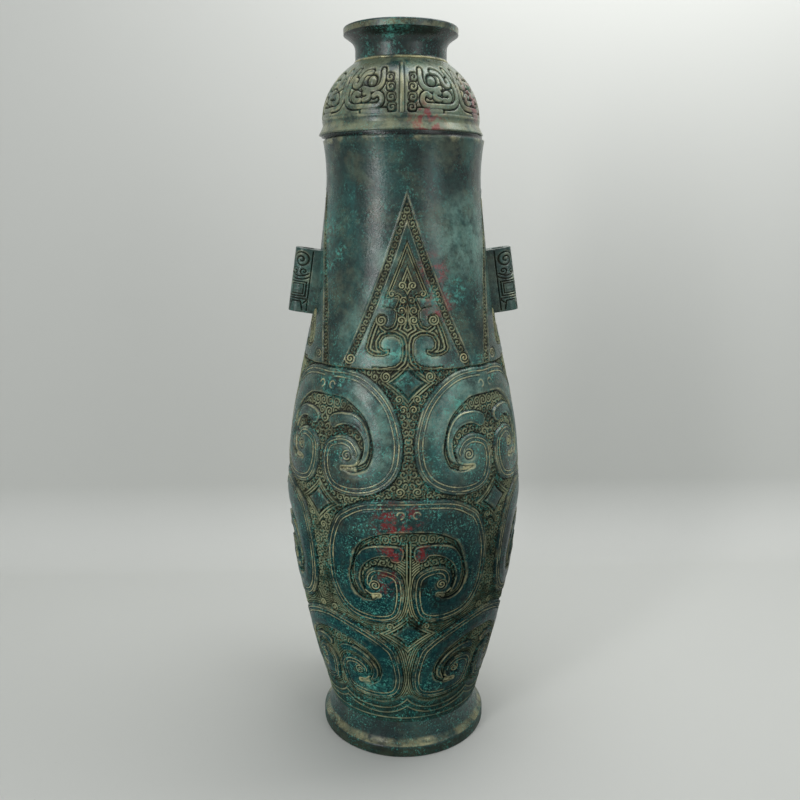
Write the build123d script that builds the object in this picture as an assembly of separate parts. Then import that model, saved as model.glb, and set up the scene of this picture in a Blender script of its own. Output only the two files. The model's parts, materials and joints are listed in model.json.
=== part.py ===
"""Lidded bronze hu: a tall round wine vessel with two pierced lugs, a ring foot and a loose lid.

Millimetres, +Z up. The origin is the centre of the ring the vessel stands on.
The vessel is joined from cast sections: foot ring, floor plate, belly, neck and two lugs.
Coiled panels stand up from the belly's sunk ground, and leaf blades are cut into the neck.
The lid is joined from a dome, a crown ring to hold it by and a tongue that drops into the mouth.
"""

from build123d import *
from collections import namedtuple
from math import radians, sin
import os

# Foot ring
foot_lip_radius = 55.3
foot_lip_height = 7.0
foot_height = 22.0
foot_wall = 4.0
foot_flange_width = 8.0
foot_flange_thickness = 4.0

# Floor plate, let into the bottom of the belly
floor_thickness = 4.0
floor_ledge = 1.5
floor_clearance = 0.1

# Belly: three tiers of ornament, each with its height and the outer radius at its top
belly_root_radius = 49.9
lower_tier_height = 81.0
lower_tier_radius = 69.1
middle_tier_height = 80.0
middle_tier_radius = 75.5
upper_tier_height = 74.0
shoulder_radius = 63.4

# Neck, from the shoulder up to the mouth
neck_height = 131.0
neck_lower_radius = 55.3
neck_upper_radius = 50.4
neck_waist_drop = 20.0
neck_waist_radius = 47.2
mouth_radius = 49.3
body_wall = 4.0

# Stepped joint between the belly and the neck
spigot_height = 4.0
spigot_clearance = 0.1

# Relief of the belly and the neck: raised coils and hooks on a sunk ground, sunk borders and scrolls
relief_depth = 1.8
relief_bite = 0.6
ground_rise = 9.0
ground_drop = 1.2
blade_height = 100.0
blade_sink = 0.8
blade_line = 1.2
blade_channel = 4.0

# Pierced lugs on the left and right of the neck
lug_rise = 46.0
lug_height = 39.0
lug_bore_radius = 4.5
lug_root = 2.7
lug_cover = 3.5
lug_cheek = 5.5
lug_corner_radius = 6.0
lug_sink = 3.0
tenon_radius = 4.0
tenon_bite = 1.0
tenon_clearance = 0.1

# Bronze spacers that held the casting core off the mould and stay in the neck's plain wall
spacer_count = 4
spacer_side = 9.0
spacer_drop = 40.0
spacer_clearance = 0.05

# Lid: tongue, dome and crown
lid_shift = 1.5
tongue_gap = 0.5
tongue_wall = 3.0
tongue_depth = 14.0
seat_gap = 1.0
seat_inset = 1.2
lid_overhang = 0.5
lid_lip_flare = 2.5
lid_lip_height = 5.0
lid_skirt_height = 3.5
dome_shoulder_inset = 3.1
dome_shoulder_height = 14.5
dome_crest_height = 17.5
dome_wall = 3.6
dome_top_thickness = 4.0
crown_ledge = 1.5
crown_boss_height = 1.5
crown_boss_clearance = 0.1
crown_root_radius = 27.3
crown_root_height = 7.5
crown_flare_width = 6.8
crown_flare_height = 8.8
crown_rim_height = 4.2
crown_wall = 3.5

# Heights of the joints above the standing surface
lower_tier_top = foot_height + lower_tier_height
middle_tier_top = lower_tier_top + middle_tier_height
shoulder_z = middle_tier_top + upper_tier_height
mouth_z = shoulder_z + neck_height
waist_z = mouth_z - neck_waist_drop
lid_z = mouth_z + seat_gap
lid_skirt_z = lid_z + lid_lip_height + lid_skirt_height
dome_shoulder_z = lid_skirt_z + dome_shoulder_height
crown_z = dome_shoulder_z + dome_crest_height

# Radii that follow from the sizes above
floor_radius = belly_root_radius - body_wall + floor_ledge
tongue_radius = min(neck_waist_radius, mouth_radius) - body_wall - lid_shift - tongue_gap
lid_lip_radius = mouth_radius + lid_overhang
lid_skirt_radius = lid_lip_radius - lid_lip_flare
dome_shoulder_radius = lid_skirt_radius - dome_shoulder_inset
dome_top_radius = crown_root_radius + crown_ledge
crown_rim_radius = crown_root_radius + crown_flare_width

# Directions in which the profiles leave their ends, as radial and upward steps
STRAIGHT_UP = (0, 0, 1)
FOOT_FLARE = (1, 0, -0.45)
DOME_CLOSING = (-1.45, 0, 1)
CROWN_FLARE = (1, 0, 0.75)

# Outlines of half a belly panel: angles from the panel's axis in degrees, and shares of the tier's height.
# The edge runs from the top of the axis round the coil to its eye, and the rim round the hollow inside it.
Panel = namedtuple("Panel", "turn edge rim hook")
LOWER_PANEL = Panel(
    turn=45,
    edge=[
        (0, 1.0), (18, 0.937), (34.5, 0.79), (42.3, 0.499), (40.5, 0.322), (31.2, 0.243), (15.4, 0.248),
        (3.5, 0.332), (1.3, 0.481), (5.5, 0.596), (16, 0.609), (22, 0.517), (21.6, 0.464),
    ],
    rim=[(0, 0.804), (15.4, 0.754), (26.6, 0.622), (28.6, 0.473), (23.5, 0.391)],
    hook=[
        (3, 0.685), (13, 0.71), (22.5, 0.611), (26.8, 0.475), (23, 0.42), (23.9, 0.5), (19, 0.617),
        (10, 0.654),
    ],
)
MIDDLE_PANEL = Panel(
    turn=0,
    edge=[
        (0, 0.991), (21.4, 0.966), (35.4, 0.815), (40.6, 0.45), (34.8, 0.096), (21.4, -0.012), (7.4, 0.003),
        (1.8, 0.212), (4.2, 0.409), (13.1, 0.465), (20.5, 0.403), (20.5, 0.278),
    ],
    rim=[(0, 0.738), (12.5, 0.721), (23.9, 0.606), (28, 0.397), (23, 0.198)],
    hook=[
        (2, 0.62), (11.2, 0.631), (20.8, 0.544), (25, 0.366), (22, 0.24), (22.9, 0.366), (18.2, 0.506),
        (7.4, 0.52),
    ],
)
UPPER_PANEL = Panel(
    turn=45,
    edge=[
        (0, 0.976), (20.6, 0.951), (34.5, 0.79), (42, 0.486), (40.4, 0.203), (26.7, 0.016), (7.6, 0.038),
        (1.2, 0.281), (3.5, 0.412), (11.7, 0.473), (18.6, 0.445), (22.5, 0.351), (21.3, 0.277),
    ],
    rim=[(0, 0.761), (14.4, 0.732), (24, 0.604), (28.1, 0.395), (23.7, 0.22)],
    hook=[
        (3.2, 0.57), (12.4, 0.651), (22, 0.592), (26, 0.428), (22.5, 0.25), (23.2, 0.45), (17.9, 0.541),
        (7.6, 0.514),
    ],
)

PANELS_ROUND = 4
BLADES_ALIKE = 2
BLADE_STEPS = 6

# Outlines of half a neck blade and of the scroll in it: angles from the blade's axis, shares of its height
FRONT_BLADE = [(46.4, -0.2), (38.7, 0), (19.4, 0.5), (0, 1.0)]
SIDE_BLADE = [(53, -0.2), (44.4, 0.02), (31.8, 0.45), (23, 0.72), (15, 0.95), (0, 1.02)]
SCROLL = [
    [(0, 0.726), (14, 0.4), (13.2, 0.39), (6, 0.4)],
    [(6, 0.4), (8.2, 0.343), (7.2, 0.318), (8.8, 0.245), (13.2, 0.244)],
    [
        (13.2, 0.244), (11.6, 0.268), (14, 0.31), (19.6, 0.27), (23.1, 0.165), (23.9, 0.115), (20, 0.073),
        (12.9, 0.067), (9.6, 0.114),
    ],
    [(9.6, 0.114), (14.9, 0.145), (11, 0.182), (4.5, 0.165), (3.6, 0.1), (8, 0.02), (19, 0.005)],
]

# Cutting discs and bores run this far past the solids that they cut
PAST = 20.0

# Halvings that pin down where the profile crosses a height
HALVINGS = 40


def on_profile(radius, height):
    """A point of a profile, in the plane that is turned about the vessel's axis."""
    return (radius, 0, height)


def turned(*edges):
    """The solid that a closed profile sweeps out around the vessel's axis."""
    return revolve(make_face(edges), Axis.Z)


def disc(radius, bottom, top):
    """A plain round slice about the vessel's axis."""
    return Pos(0, 0, bottom) * extrude(Circle(radius), top - bottom)


def body_profile(inset):
    """The curve of the vessel's wall from the foot to the mouth, moved in towards the axis."""
    neck_third = (waist_z - shoulder_z) / 3
    stations = [
        (belly_root_radius, foot_height),
        (lower_tier_radius, lower_tier_top),
        (middle_tier_radius, middle_tier_top),
        (shoulder_radius, shoulder_z),
        (neck_lower_radius, shoulder_z + neck_third),
        (neck_upper_radius, waist_z - neck_third),
        (neck_waist_radius, waist_z),
        (mouth_radius, mouth_z),
    ]
    return Spline([on_profile(radius - inset, height) for radius, height in stations])


def filled_body(inset):
    """The vessel's body as if it were solid, inside the curve that lies inset from its outside."""
    wall = body_profile(inset)
    bottom, top = on_profile(0, foot_height), on_profile(0, mouth_z)
    return turned(Line(bottom, wall @ 0), wall, Line(wall @ 1, top), Line(top, bottom))


def outside_radius(height):
    """The body's outer radius at a height, found by halving the profile's parameter range."""
    curve = body_profile(0)
    low, high = 0.0, 1.0
    for _ in range(HALVINGS):
        middle = (low + high) / 2
        low, high = (middle, high) if (curve @ middle).Z < height else (low, middle)
    return (curve @ low).X


def on_wall(angle, height):
    """A point of the body's outside, seen straight on from the front."""
    return (outside_radius(height) * sin(radians(angle)), height)


def both_sides(face):
    """A face drawn on the right of its axis, with its mirror image on the left."""
    return face + mirror(face, Plane.YZ)


def front_bars(faces):
    """Bars from the vessel's axis out to the front, with the faces as their sections."""
    return extrude(Plane.XZ * faces, middle_tier_radius + PAST, dir=(0, -1, 0))


def outside_of(depth, bottom, top):
    """Everything between two heights that lies outside the body sunk by a depth."""
    return disc(middle_tier_radius + PAST, bottom, top) - filled_body(depth)


def around(shape, turn, count):
    """The shape so many times round the vessel, the first time at the given angle from the front."""
    return [Rot(0, 0, turn + 360 / count * step) * shape for step in range(count)]


def panel_layer(panel, bottom, height, layer):
    """A belly panel and its two hooks, cut out of a layer of the wall, at every place in its tier."""
    def line(points):
        return [on_wall(angle, bottom + share * height) for angle, share in points]

    edge, rim = Spline(line(panel.edge)), Spline(line(panel.rim))
    coil = make_face([edge, Line(edge @ 1, rim @ 1), rim, Line(rim @ 0, edge @ 0)])
    hook = make_face(Spline(line(panel.hook), periodic=True))
    return around(front_bars(both_sides(coil) + both_sides(hook)) & layer, panel.turn, PANELS_ROUND)


def raise_panels(belly):
    """The belly with its ground sunk and the panels left standing."""
    bottom, top = foot_height + ground_rise, shoulder_z - ground_drop
    sunk = belly - outside_of(relief_depth, bottom, top)
    layer = filled_body(0) & outside_of(relief_depth + relief_bite, bottom, top)
    lower = panel_layer(LOWER_PANEL, foot_height, lower_tier_height, layer)
    middle = panel_layer(MIDDLE_PANEL, lower_tier_top, middle_tier_height, layer)
    upper = panel_layer(UPPER_PANEL, middle_tier_top, upper_tier_height, layer)
    return sunk + lower + middle + upper


def on_blade(outline):
    """Points of a neck blade's outline, seen straight on from the front."""
    return [on_wall(angle, shoulder_z + share * blade_height) for angle, share in outline]


def blade_leaf(outline, inset):
    """A leaf blade's outline, drawn in from its edge by an inset all round."""
    edge = Spline(on_blade(outline))
    steps = [step / BLADE_STEPS for step in range(BLADE_STEPS + 1)]
    moved = [edge @ step + inset * Vector(-(edge % step).Y, (edge % step).X) for step in steps]
    inner = Spline(moved)
    top, bottom = moved[-1].Y, moved[0].Y
    far = -middle_tier_radius - PAST
    right = make_face([inner, Polyline(inner @ 1, (far, top), (far, bottom), inner @ 0)])
    return right & mirror(right, Plane.YZ)


def blade_border(outline):
    """The sunk border of a leaf blade, between its edge line and its field."""
    return blade_leaf(outline, blade_line) - blade_leaf(outline, blade_line + blade_channel)


def make_scroll():
    """The sunk scroll inside a blade: pointed head, stem and two curled arms."""
    head, *curls = [on_blade(run) for run in SCROLL]
    end_x = curls[-1][-1][0]
    below = shoulder_z - PAST
    tail = Polyline(curls[-1][-1], (end_x, below), (0, below), head[0])
    return make_face([Polyline(head), *(Spline(run) for run in curls), tail])


def sink_blades(neck):
    """The neck with the borders of its four blades, and the scrolls of two of them, cut into it."""
    layer = outside_of(blade_sink, shoulder_z - PAST, mouth_z)
    front = front_bars(blade_border(FRONT_BLADE) + both_sides(make_scroll())) & layer
    side = front_bars(blade_border(SIDE_BLADE)) & layer
    return neck - around(front, 0, BLADES_ALIKE) - around(side, 90, BLADES_ALIKE)


def make_foot_ring():
    """A flared ring with a square lip below and an inward flange above that carries the floor."""
    inner_top = foot_height - foot_flange_thickness
    lip_inner = foot_lip_radius - foot_wall
    throat = belly_root_radius - foot_wall
    flange_inner = belly_root_radius - foot_flange_width
    outside = Spline(
        [on_profile(belly_root_radius, foot_height), on_profile(foot_lip_radius, foot_lip_height)],
        tangents=[(0, 0, -1), FOOT_FLARE],
    )
    inside = Spline(
        [on_profile(throat, inner_top), on_profile(lip_inner, foot_lip_height - foot_wall / 2)],
        tangents=[(0, 0, -1), FOOT_FLARE],
    )
    edge = Polyline(
        outside @ 1,
        on_profile(foot_lip_radius, 0),
        on_profile(lip_inner, 0),
        inside @ 1,
    )
    flange = Polyline(
        inside @ 0,
        on_profile(flange_inner, inner_top),
        on_profile(flange_inner, foot_height),
        outside @ 0,
    )
    return turned(outside, edge, inside, flange)


def make_floor_plate():
    """A disc that closes the bottom of the belly and rests on the foot ring's flange."""
    return disc(floor_radius, foot_height, foot_height + floor_thickness)


def spigot_radius():
    """Half way through the part of the wall that stands clear over the whole stepped joint."""
    return (outside_radius(shoulder_z + spigot_height) + shoulder_radius - body_wall) / 2


def make_belly(wall):
    """The wall below the shoulder, with a spigot on top and a rebate for the floor plate below."""
    spigot_top = shoulder_z + spigot_height - spigot_clearance
    spigot = disc(spigot_radius() - spigot_clearance, shoulder_z, spigot_top)
    below = disc(middle_tier_radius + PAST, foot_height - PAST, shoulder_z)
    rebate = disc(floor_radius + floor_clearance, foot_height, foot_height + floor_thickness)
    return (wall & (below + spigot)) - rebate


def make_neck(wall):
    """The wall above the shoulder, with a rebate that the belly's spigot fits into."""
    above = disc(shoulder_radius + PAST, shoulder_z, mouth_z + PAST)
    return (wall & above) - disc(spigot_radius(), shoulder_z, shoulder_z + spigot_height)


def lug_frame():
    """The plane square to the right lug's bore: its x points out and its z runs up along the bore."""
    middle_z = shoulder_z + lug_rise
    top_radius = outside_radius(middle_z + lug_height / 2)
    bottom_radius = outside_radius(middle_z - lug_height / 2)
    bore_x = (top_radius + bottom_radius) / 2 + lug_root + lug_bore_radius
    spread = bottom_radius - top_radius
    return Plane((bore_x, 0, middle_z), x_dir=(lug_height, 0, spread), z_dir=(-spread, 0, lug_height))


def tenon_shaft(frame, clearance):
    """A round bar from the vessel's axis out to just inside the right lug."""
    reach = outside_radius(frame.origin.Z) + tenon_bite
    return Pos(0, 0, frame.origin.Z) * extrude(Plane.YZ * Circle(tenon_radius + clearance), reach)


def make_right_lug(frame, outside, hollow):
    """A leaning tube, trimmed to the neck, with a tenon that goes through the neck's wall."""
    outer_x = lug_bore_radius + lug_cover
    inner_x = -lug_bore_radius - lug_root - lug_sink
    section = Rectangle(outer_x - inner_x, 2 * (lug_bore_radius + lug_cheek))
    outer_corners = section.vertices().group_by(Axis.X)[-1]
    section = Pos((outer_x + inner_x) / 2, 0, 0) * fillet(outer_corners, lug_corner_radius)
    block = frame * Pos(0, 0, -lug_height / 2) * extrude(section, lug_height)
    bore = frame * Cylinder(lug_bore_radius, lug_height + PAST)
    return (block - outside) + (tenon_shaft(frame, 0) - hollow) - bore


def spacer_bars(clearance):
    """Square bars that pass through the neck's wall between the points of its ornament."""
    side = spacer_side + 2 * clearance
    bar = Pos(mouth_radius, 0, mouth_z - spacer_drop) * Box(mouth_radius, side, side)
    step = 360 / spacer_count
    return [Rot(0, 0, step * (turn + 0.5)) * bar for turn in range(spacer_count)]


def make_tongue():
    """A ring that hangs in the mouth, with a thin shoulder that rests on the mouth's rim."""
    tip_z = mouth_z - tongue_depth
    ring = disc(tongue_radius, tip_z, lid_z) + disc(mouth_radius - seat_inset, mouth_z, lid_z)
    return ring - disc(tongue_radius - tongue_wall, tip_z - PAST, lid_z + PAST)


def make_dome():
    """The lid's dome: a flared lip, a plain skirt, a round shoulder and a flat seat for the crown."""
    outside = Spline(
        [
            on_profile(lid_skirt_radius, lid_skirt_z),
            on_profile(dome_shoulder_radius, dome_shoulder_z),
            on_profile(dome_top_radius, crown_z),
        ],
        tangents=[STRAIGHT_UP, DOME_CLOSING],
    )
    inside = Spline(
        [
            on_profile(lid_skirt_radius - dome_wall, lid_skirt_z),
            on_profile(dome_shoulder_radius - dome_wall, dome_shoulder_z),
            on_profile(dome_top_radius - dome_wall, crown_z - dome_top_thickness),
        ],
        tangents=[STRAIGHT_UP, DOME_CLOSING],
    )
    lip = Polyline(
        outside @ 0,
        on_profile(lid_skirt_radius, lid_z + lid_lip_height),
        on_profile(lid_lip_radius, lid_z),
        on_profile(lid_skirt_radius - dome_wall, lid_z),
        inside @ 0,
    )
    boss_radius = crown_root_radius - crown_wall - crown_boss_clearance
    boss_z = crown_z + crown_boss_height
    seat = Polyline(
        outside @ 1,
        on_profile(boss_radius, crown_z),
        on_profile(boss_radius, boss_z),
        on_profile(0, boss_z),
        on_profile(0, crown_z - dome_top_thickness),
        inside @ 1,
    )
    return turned(outside, lip, inside, seat)


def make_crown():
    """The flared ring on top of the lid, open above like a shallow cup."""
    flare_z = crown_z + crown_root_height
    rim_z = flare_z + crown_flare_height
    inner_root_radius = crown_root_radius - crown_wall
    inner_rim_radius = crown_rim_radius - crown_wall
    outside = Spline(
        [on_profile(crown_root_radius, flare_z), on_profile(crown_rim_radius, rim_z)],
        tangents=[STRAIGHT_UP, CROWN_FLARE],
    )
    inside = Spline(
        [on_profile(inner_root_radius, flare_z), on_profile(inner_rim_radius, rim_z)],
        tangents=[STRAIGHT_UP, CROWN_FLARE],
    )
    rim = Polyline(
        outside @ 1,
        on_profile(crown_rim_radius, rim_z + crown_rim_height),
        on_profile(inner_rim_radius, rim_z + crown_rim_height),
        inside @ 1,
    )
    root = Polyline(
        inside @ 0,
        on_profile(inner_root_radius, crown_z),
        on_profile(crown_root_radius, crown_z),
        outside @ 0,
    )
    return turned(outside, rim, inside, root)


def make_parts():
    """Every piece of the vessel and its lid, by name, in its place at rest."""
    outside = filled_body(0)
    hollow = filled_body(body_wall)
    wall = outside - hollow
    frame = lug_frame()
    right_lug = make_right_lug(frame, outside, hollow)
    mortise = tenon_shaft(frame, tenon_clearance)
    neck = sink_blades(make_neck(wall)) - mortise - mirror(mortise, Plane.YZ)
    for pocket in spacer_bars(spacer_clearance):
        neck -= pocket
    on_mouth = Pos(-lid_shift, 0, 0)
    parts = {
        "foot_ring": make_foot_ring(),
        "floor_plate": make_floor_plate(),
        "belly_shell": raise_panels(make_belly(wall)),
        "neck_shell": neck,
        "left_lug": mirror(right_lug, Plane.YZ),
        "right_lug": right_lug,
        "lid_tongue": on_mouth * make_tongue(),
        "lid_dome": on_mouth * make_dome(),
        "lid_crown": on_mouth * make_crown(),
    }
    for number, bar in enumerate(spacer_bars(0), start=1):
        parts[f"core_spacer_{number}"] = wall & bar
    return parts


os.makedirs("parts", exist_ok=True)
for name, shape in make_parts().items():
    export_step(shape, f"parts/{name}.step")
    print(name, "volume", round(shape.volume))
print("lug bore middle", lug_frame().origin, "axis", lug_frame().z_dir)
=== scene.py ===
"""A lidded bronze hu: cast relief in three tiers, leaf blades on the neck and masks on the lid.

Every ornament is drawn flat, in millimetres, as a height over the plain wall that the frame gives.
Angles are in degrees from the front of the vessel, which is -Y, towards +X.
"""

import json
import math
from collections import namedtuple

import bpy
import numpy as np
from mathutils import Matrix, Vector
from mathutils.bvhtree import BVHTree


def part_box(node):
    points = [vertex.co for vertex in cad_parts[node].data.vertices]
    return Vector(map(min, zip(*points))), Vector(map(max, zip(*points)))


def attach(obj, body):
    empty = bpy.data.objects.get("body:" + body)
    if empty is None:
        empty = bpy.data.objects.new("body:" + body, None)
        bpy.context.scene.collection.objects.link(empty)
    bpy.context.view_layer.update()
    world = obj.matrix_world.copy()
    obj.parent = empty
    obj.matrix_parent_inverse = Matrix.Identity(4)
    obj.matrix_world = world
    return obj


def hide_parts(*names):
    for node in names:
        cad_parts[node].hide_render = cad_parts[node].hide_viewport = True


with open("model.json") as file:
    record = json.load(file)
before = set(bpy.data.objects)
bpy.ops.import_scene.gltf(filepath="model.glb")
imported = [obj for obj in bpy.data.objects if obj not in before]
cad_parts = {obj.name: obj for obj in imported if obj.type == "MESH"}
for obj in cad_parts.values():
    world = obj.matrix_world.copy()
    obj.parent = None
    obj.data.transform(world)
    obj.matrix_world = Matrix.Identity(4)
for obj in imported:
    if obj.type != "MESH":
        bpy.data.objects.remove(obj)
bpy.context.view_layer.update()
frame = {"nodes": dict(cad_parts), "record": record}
MOUNTS = {mount["name"]: mount for mount in frame["record"]["mounts"]}

bl_info = {
    "name": "Bronze hu vessel",
    "version": (1, 0, 0),
    "blender": (4, 5, 0),
    "location": "View3D > Sidebar > Hu vessel",
    "description": "Dresses the packed hu vessel with cast relief and patina",
    "category": "Add Mesh",
}

MM = 0.001


def box_mm(node):
    """Lowest and highest corner of a CAD node, in millimetres."""
    low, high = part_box(node)
    return np.array(low) / MM, np.array(high) / MM


# Heights and places that the frame gives, in millimetres
FOOT_HIGH = box_mm("foot_ring")[1]
FOOT_TOP = FOOT_HIGH[2]
NECK_LOW, NECK_HIGH = box_mm("neck_shell")
SHOULDER_Z, MOUTH_Z = NECK_LOW[2], NECK_HIGH[2]
LID_LOW, LID_HIGH = box_mm("lid_dome")
CROWN_LOW, CROWN_HIGH = box_mm("lid_crown")
LID_X = (LID_LOW[0] + LID_HIGH[0]) / 2
LUG_HALF_WIDTH = box_mm("right_lug")[1][1]

# Where the tiers of the belly meet, and the grid that the relief is worked out on
LOWER_TOP, MIDDLE_TOP = 103.0, 183.0
GRID_STEP = 0.46
FOLD_COLUMNS, NECK_COLUMNS, LID_COLUMNS = 128, 192, 88

TierPanel = namedtuple("TierPanel", "axis radius edge rim slit hook eye eye_radius curl_z")
Cloud = namedtuple("Cloud", "scale detail roughness start full share", defaults=(1.0,))


def srgb(red, green, blue):
    """A display colour from 0 to 255 as the linear colour that Blender's sockets take."""
    value = np.array([red, green, blue]) / 255
    linear = np.where(value <= 0.04045, value / 12.92, ((value + 0.055) / 1.055) ** 2.4)
    return (*linear.tolist(), 1.0)


# Outlines of the belly panels, as angles from the panel's own axis and heights.
# The edge runs from the top of the axis round the coil to its eye, the rim round the hollow inside it.
UPPER_PANEL = TierPanel(
    axis=45,
    radius=71,
    edge=[
        (0, 255.2), (10.3, 255.6), (20.6, 253.4), (30.8, 246), (38.2, 234.5), (42, 219), (42.2, 208),
        (40.4, 198), (35.3, 189.6), (26.7, 184.2), (16.5, 182.9), (7.6, 185.8), (2.9, 193), (1.2, 203.8),
        (3.5, 213.5), (11.7, 218), (18.6, 215.9), (22.5, 209), (21.3, 203.5),
    ],
    rim=[
        (0, 239.3), (7.6, 239.3), (14.4, 237.2), (24, 227.7), (28.1, 212.2), (26.4, 201.8),
        (23.3, 198.8), (18.6, 197.5), (13.8, 199.2),
    ],
    slit=[(13.8, 199.2), (18.6, 199.8), (21.6, 201.8), (23.1, 205.5)],
    hook=[
        (3.2, 225.2), (3.9, 228), (6.9, 230.2), (12.4, 231.4), (18.6, 230.6), (23, 227), (25.8, 221.3),
        (27, 214.7), (26.6, 208), (24.8, 203.3), (20.6, 200.5), (22.6, 204.7), (23.7, 210.5), (23.2, 216.3),
        (21, 220.5), (17.9, 223), (13.8, 223.8), (10.1, 222.7), (7.6, 221), (5.2, 221.7),
    ],
    eye=(15.7, 206.5),
    eye_radius=3.6,
    curl_z=246,
)
MIDDLE_PANEL = TierPanel(
    axis=0,
    radius=74,
    edge=[
        (0, 182.3), (11.2, 182), (21.4, 180.3), (29, 175.7), (35.4, 168.2), (40.3, 149.8), (40.6, 130),
        (38.6, 119), (34.8, 110.7), (29, 104.8), (21.4, 101.8), (13.8, 101.2), (7.4, 103.2), (3.6, 108.5),
        (1.8, 120), (2.3, 130.7), (4.2, 135.7), (8, 138.8), (13.1, 140.2), (17.6, 139), (20.5, 135.2),
        (21.4, 129.8), (20.5, 125.2),
    ],
    rim=[
        (0, 162), (6.1, 161.8), (12.5, 160.7), (18.9, 157.3), (23.9, 151.5), (28, 134.8), (27.8, 127.3),
        (25.9, 121.5), (22, 118.2), (17.6, 117.8), (14.1, 121.2),
    ],
    slit=[(14.1, 121.2), (18.2, 120.7), (21.4, 123.2)],
    hook=[
        (2, 151.5), (4, 154), (10, 154.6), (17, 153.8), (21.6, 151.2), (24.8, 145.8), (26.3, 139.8),
        (26.7, 132.3), (25.7, 126.2), (23.2, 122), (20.1, 120.8), (22, 126.2), (22.9, 132.3), (21.4, 139),
        (18.2, 143.5), (14.4, 146), (9.6, 146.6), (8, 143.8), (5.4, 142.7), (3, 144.2), (2, 148),
    ],
    eye=(15.9, 127.7),
    eye_radius=3.6,
    curl_z=173.5,
)
LOWER_PANEL = TierPanel(
    axis=45,
    radius=63,
    edge=[
        (0, 103.4), (8.8, 101.7), (18, 97.9), (27.3, 92.4), (34.5, 86), (39.2, 78.9), (42.3, 62.4),
        (42.1, 53.9), (40.5, 48.1), (37.2, 44.1), (31.2, 41.7), (23.3, 41.3), (15.4, 42.1), (8.1, 44.3),
        (3.5, 48.9), (1.3, 61), (2.2, 66), (5.5, 70.3), (10.8, 72.1), (16, 71.3), (20, 68.1), (22, 63.9),
        (21.6, 59.6),
    ],
    rim=[
        (0, 87.1), (7.5, 86.7), (15.4, 83.1), (22, 78.1), (26.6, 72.4), (29, 66), (28.6, 60.3),
        (26.6, 56), (22.7, 53.4), (18, 53.1), (15.4, 54.6),
    ],
    slit=[(15.4, 54.6), (19.3, 55), (22, 57.4)],
    hook=[
        (3, 77.5), (7, 80), (13, 80), (19.2, 77.2), (24, 72.2), (27.2, 66), (27.5, 60.4), (25.6, 56.8),
        (21.5, 55), (22.6, 58.5), (23.9, 62.5), (22.6, 67.5), (19, 72), (14.5, 74.5), (10, 75), (7, 73.8),
        (4, 74.2),
    ],
    eye=(15.4, 62.4),
    eye_radius=3.4,
    curl_z=None,
)
TIER_PANELS = (LOWER_PANEL, MIDDLE_PANEL, UPPER_PANEL)
PANEL_REACH = 17.0

# Four-pointed studs between the panels: angle, height, half width, half height, and radius to measure on
STUDS = ((0, 249, 10, 8.5, 66), (45, 176, 10, 8.5, 75), (0, 93, 11, 8.5, 67))
STUD_HOLLOWING, STUD_FRAMES, STUD_LINE = 0.85, (1.22, 1.45), 0.17
STUD_EDGE, STUD_REACH = (0, 0.16), (0.3, 0.45)
STUD_HEIGHT, STUD_RISE, STUD_GROUND = -0.35, 0.3, -1.3
BELLY_RADIUS = 68.0

# Larger spirals in the ground between the panels: angle, height, radius
BELLY_SPIRALS = (
    (4.6, 240, 2.4), (2.5, 234.2, 2.3), (4.0, 187, 2.7), (11.6, 252.6, 3.2), (9.5, 98.5, 2.3),
    (40.4, 167, 2.4), (42.5, 161.2, 2.3), (41, 105.5, 2.5),
)

# Heights across a panel's border, by distance in from its edge
BORDER_AT = (0, 0.6, 1.2, 1.65, 2.1, 2.5, 2.95, 3.3, 3.8, 4.2, 4.6, 5.0, 5.45, 6.0)
BORDER_HEIGHT = (-1.8, 0.0, 0.0, -0.75, 0.2, 0.2, -0.75, -0.2, -0.2, -0.75, 0.2, 0.2, -0.6, 0)
BORDER_LINES, LINE_WIDTH = (2.3, 4.8), 1.0

# A panel's field: how far its border reaches in, how it bulges past that, and the run of its wall
BORDER_WIDTH, FIELD_BULGE, BULGE_RUN, WALL_RUN = 6.0, 0.45, 7.0, 1.0

# Where the border lines fade before the eye, and the lips of rim and slit as distance in and width
LINES_END = (2.5, 0.5)
RIM_LIP, SLIT_LIP, RIM_SHINE, SLIT_RISE = (0.8, 1.0), (1.1, 2.2), 0.7, 0.25

# The curl beside a panel's axis: angle, radius, line and rise, and the border that gives way to it
CURL_ANGLE, CURL_RADIUS, CURL_LINE, CURL_RISE = 3.6, 2.0, 1.2, 0.45
CURL_FADE, CURL_BORDER, CURL_DROP, CURL_TAIL = 1.5, (3.4, 7.0), 4.0, 2.8

# Spirals of the ground beside a rim and beside an edge: distance out, cell and pitch
RIM_CELLS, EDGE_CELLS = (0.5, 5.9, 1.62), (0.4, 4.5, 1.55)
GROUND_RUN, SQUARISH = (0.2, 0.6), 3.0

# Single round spirals of eyes, belly, scrolls and blade corners: pitch, lowest and highest
EYE_WIND, BELLY_WIND = (1.75, -0.9, 0.2), (1.55, -1.6, -0.45)
SCROLL_WIND, CORNER_WIND = (1.5, -0.9, 0.0), (1.6, -0.8, 0.1)

# A hook: how far its top lies under the wall, its rounded shoulder, edge line and groove
HOOK_DROP, HOOK_SHOULDER = 0.1, 0.9
HOOK_EDGE, HOOK_GROOVE, HOOK_LINE = (0.9, 1.2), (1.7, 1.0), (0.75, 1.0)

# Parallel lines take the place of spirals where the ground is narrow, and low down outside the panels
STRIP_PITCH = 1.4
NARROW_GAP = 4.6
LINES_BELOW = 114.0
SLIT_TONGUE, TONGUE_HEIGHT = 2.9, -0.4

# Lines between the two coils of a middle panel, and the upright pair above them: half widths and heights
STEM_HALF, STEM_TOP, STEM_RISE = 6.5, 146, 1.1
UPRIGHT_HALF, UPRIGHT_TOP, UPRIGHT_LINE, UPRIGHT_RUN = 1.9, 156, (1.0, 1.1), (122, 136)

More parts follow.
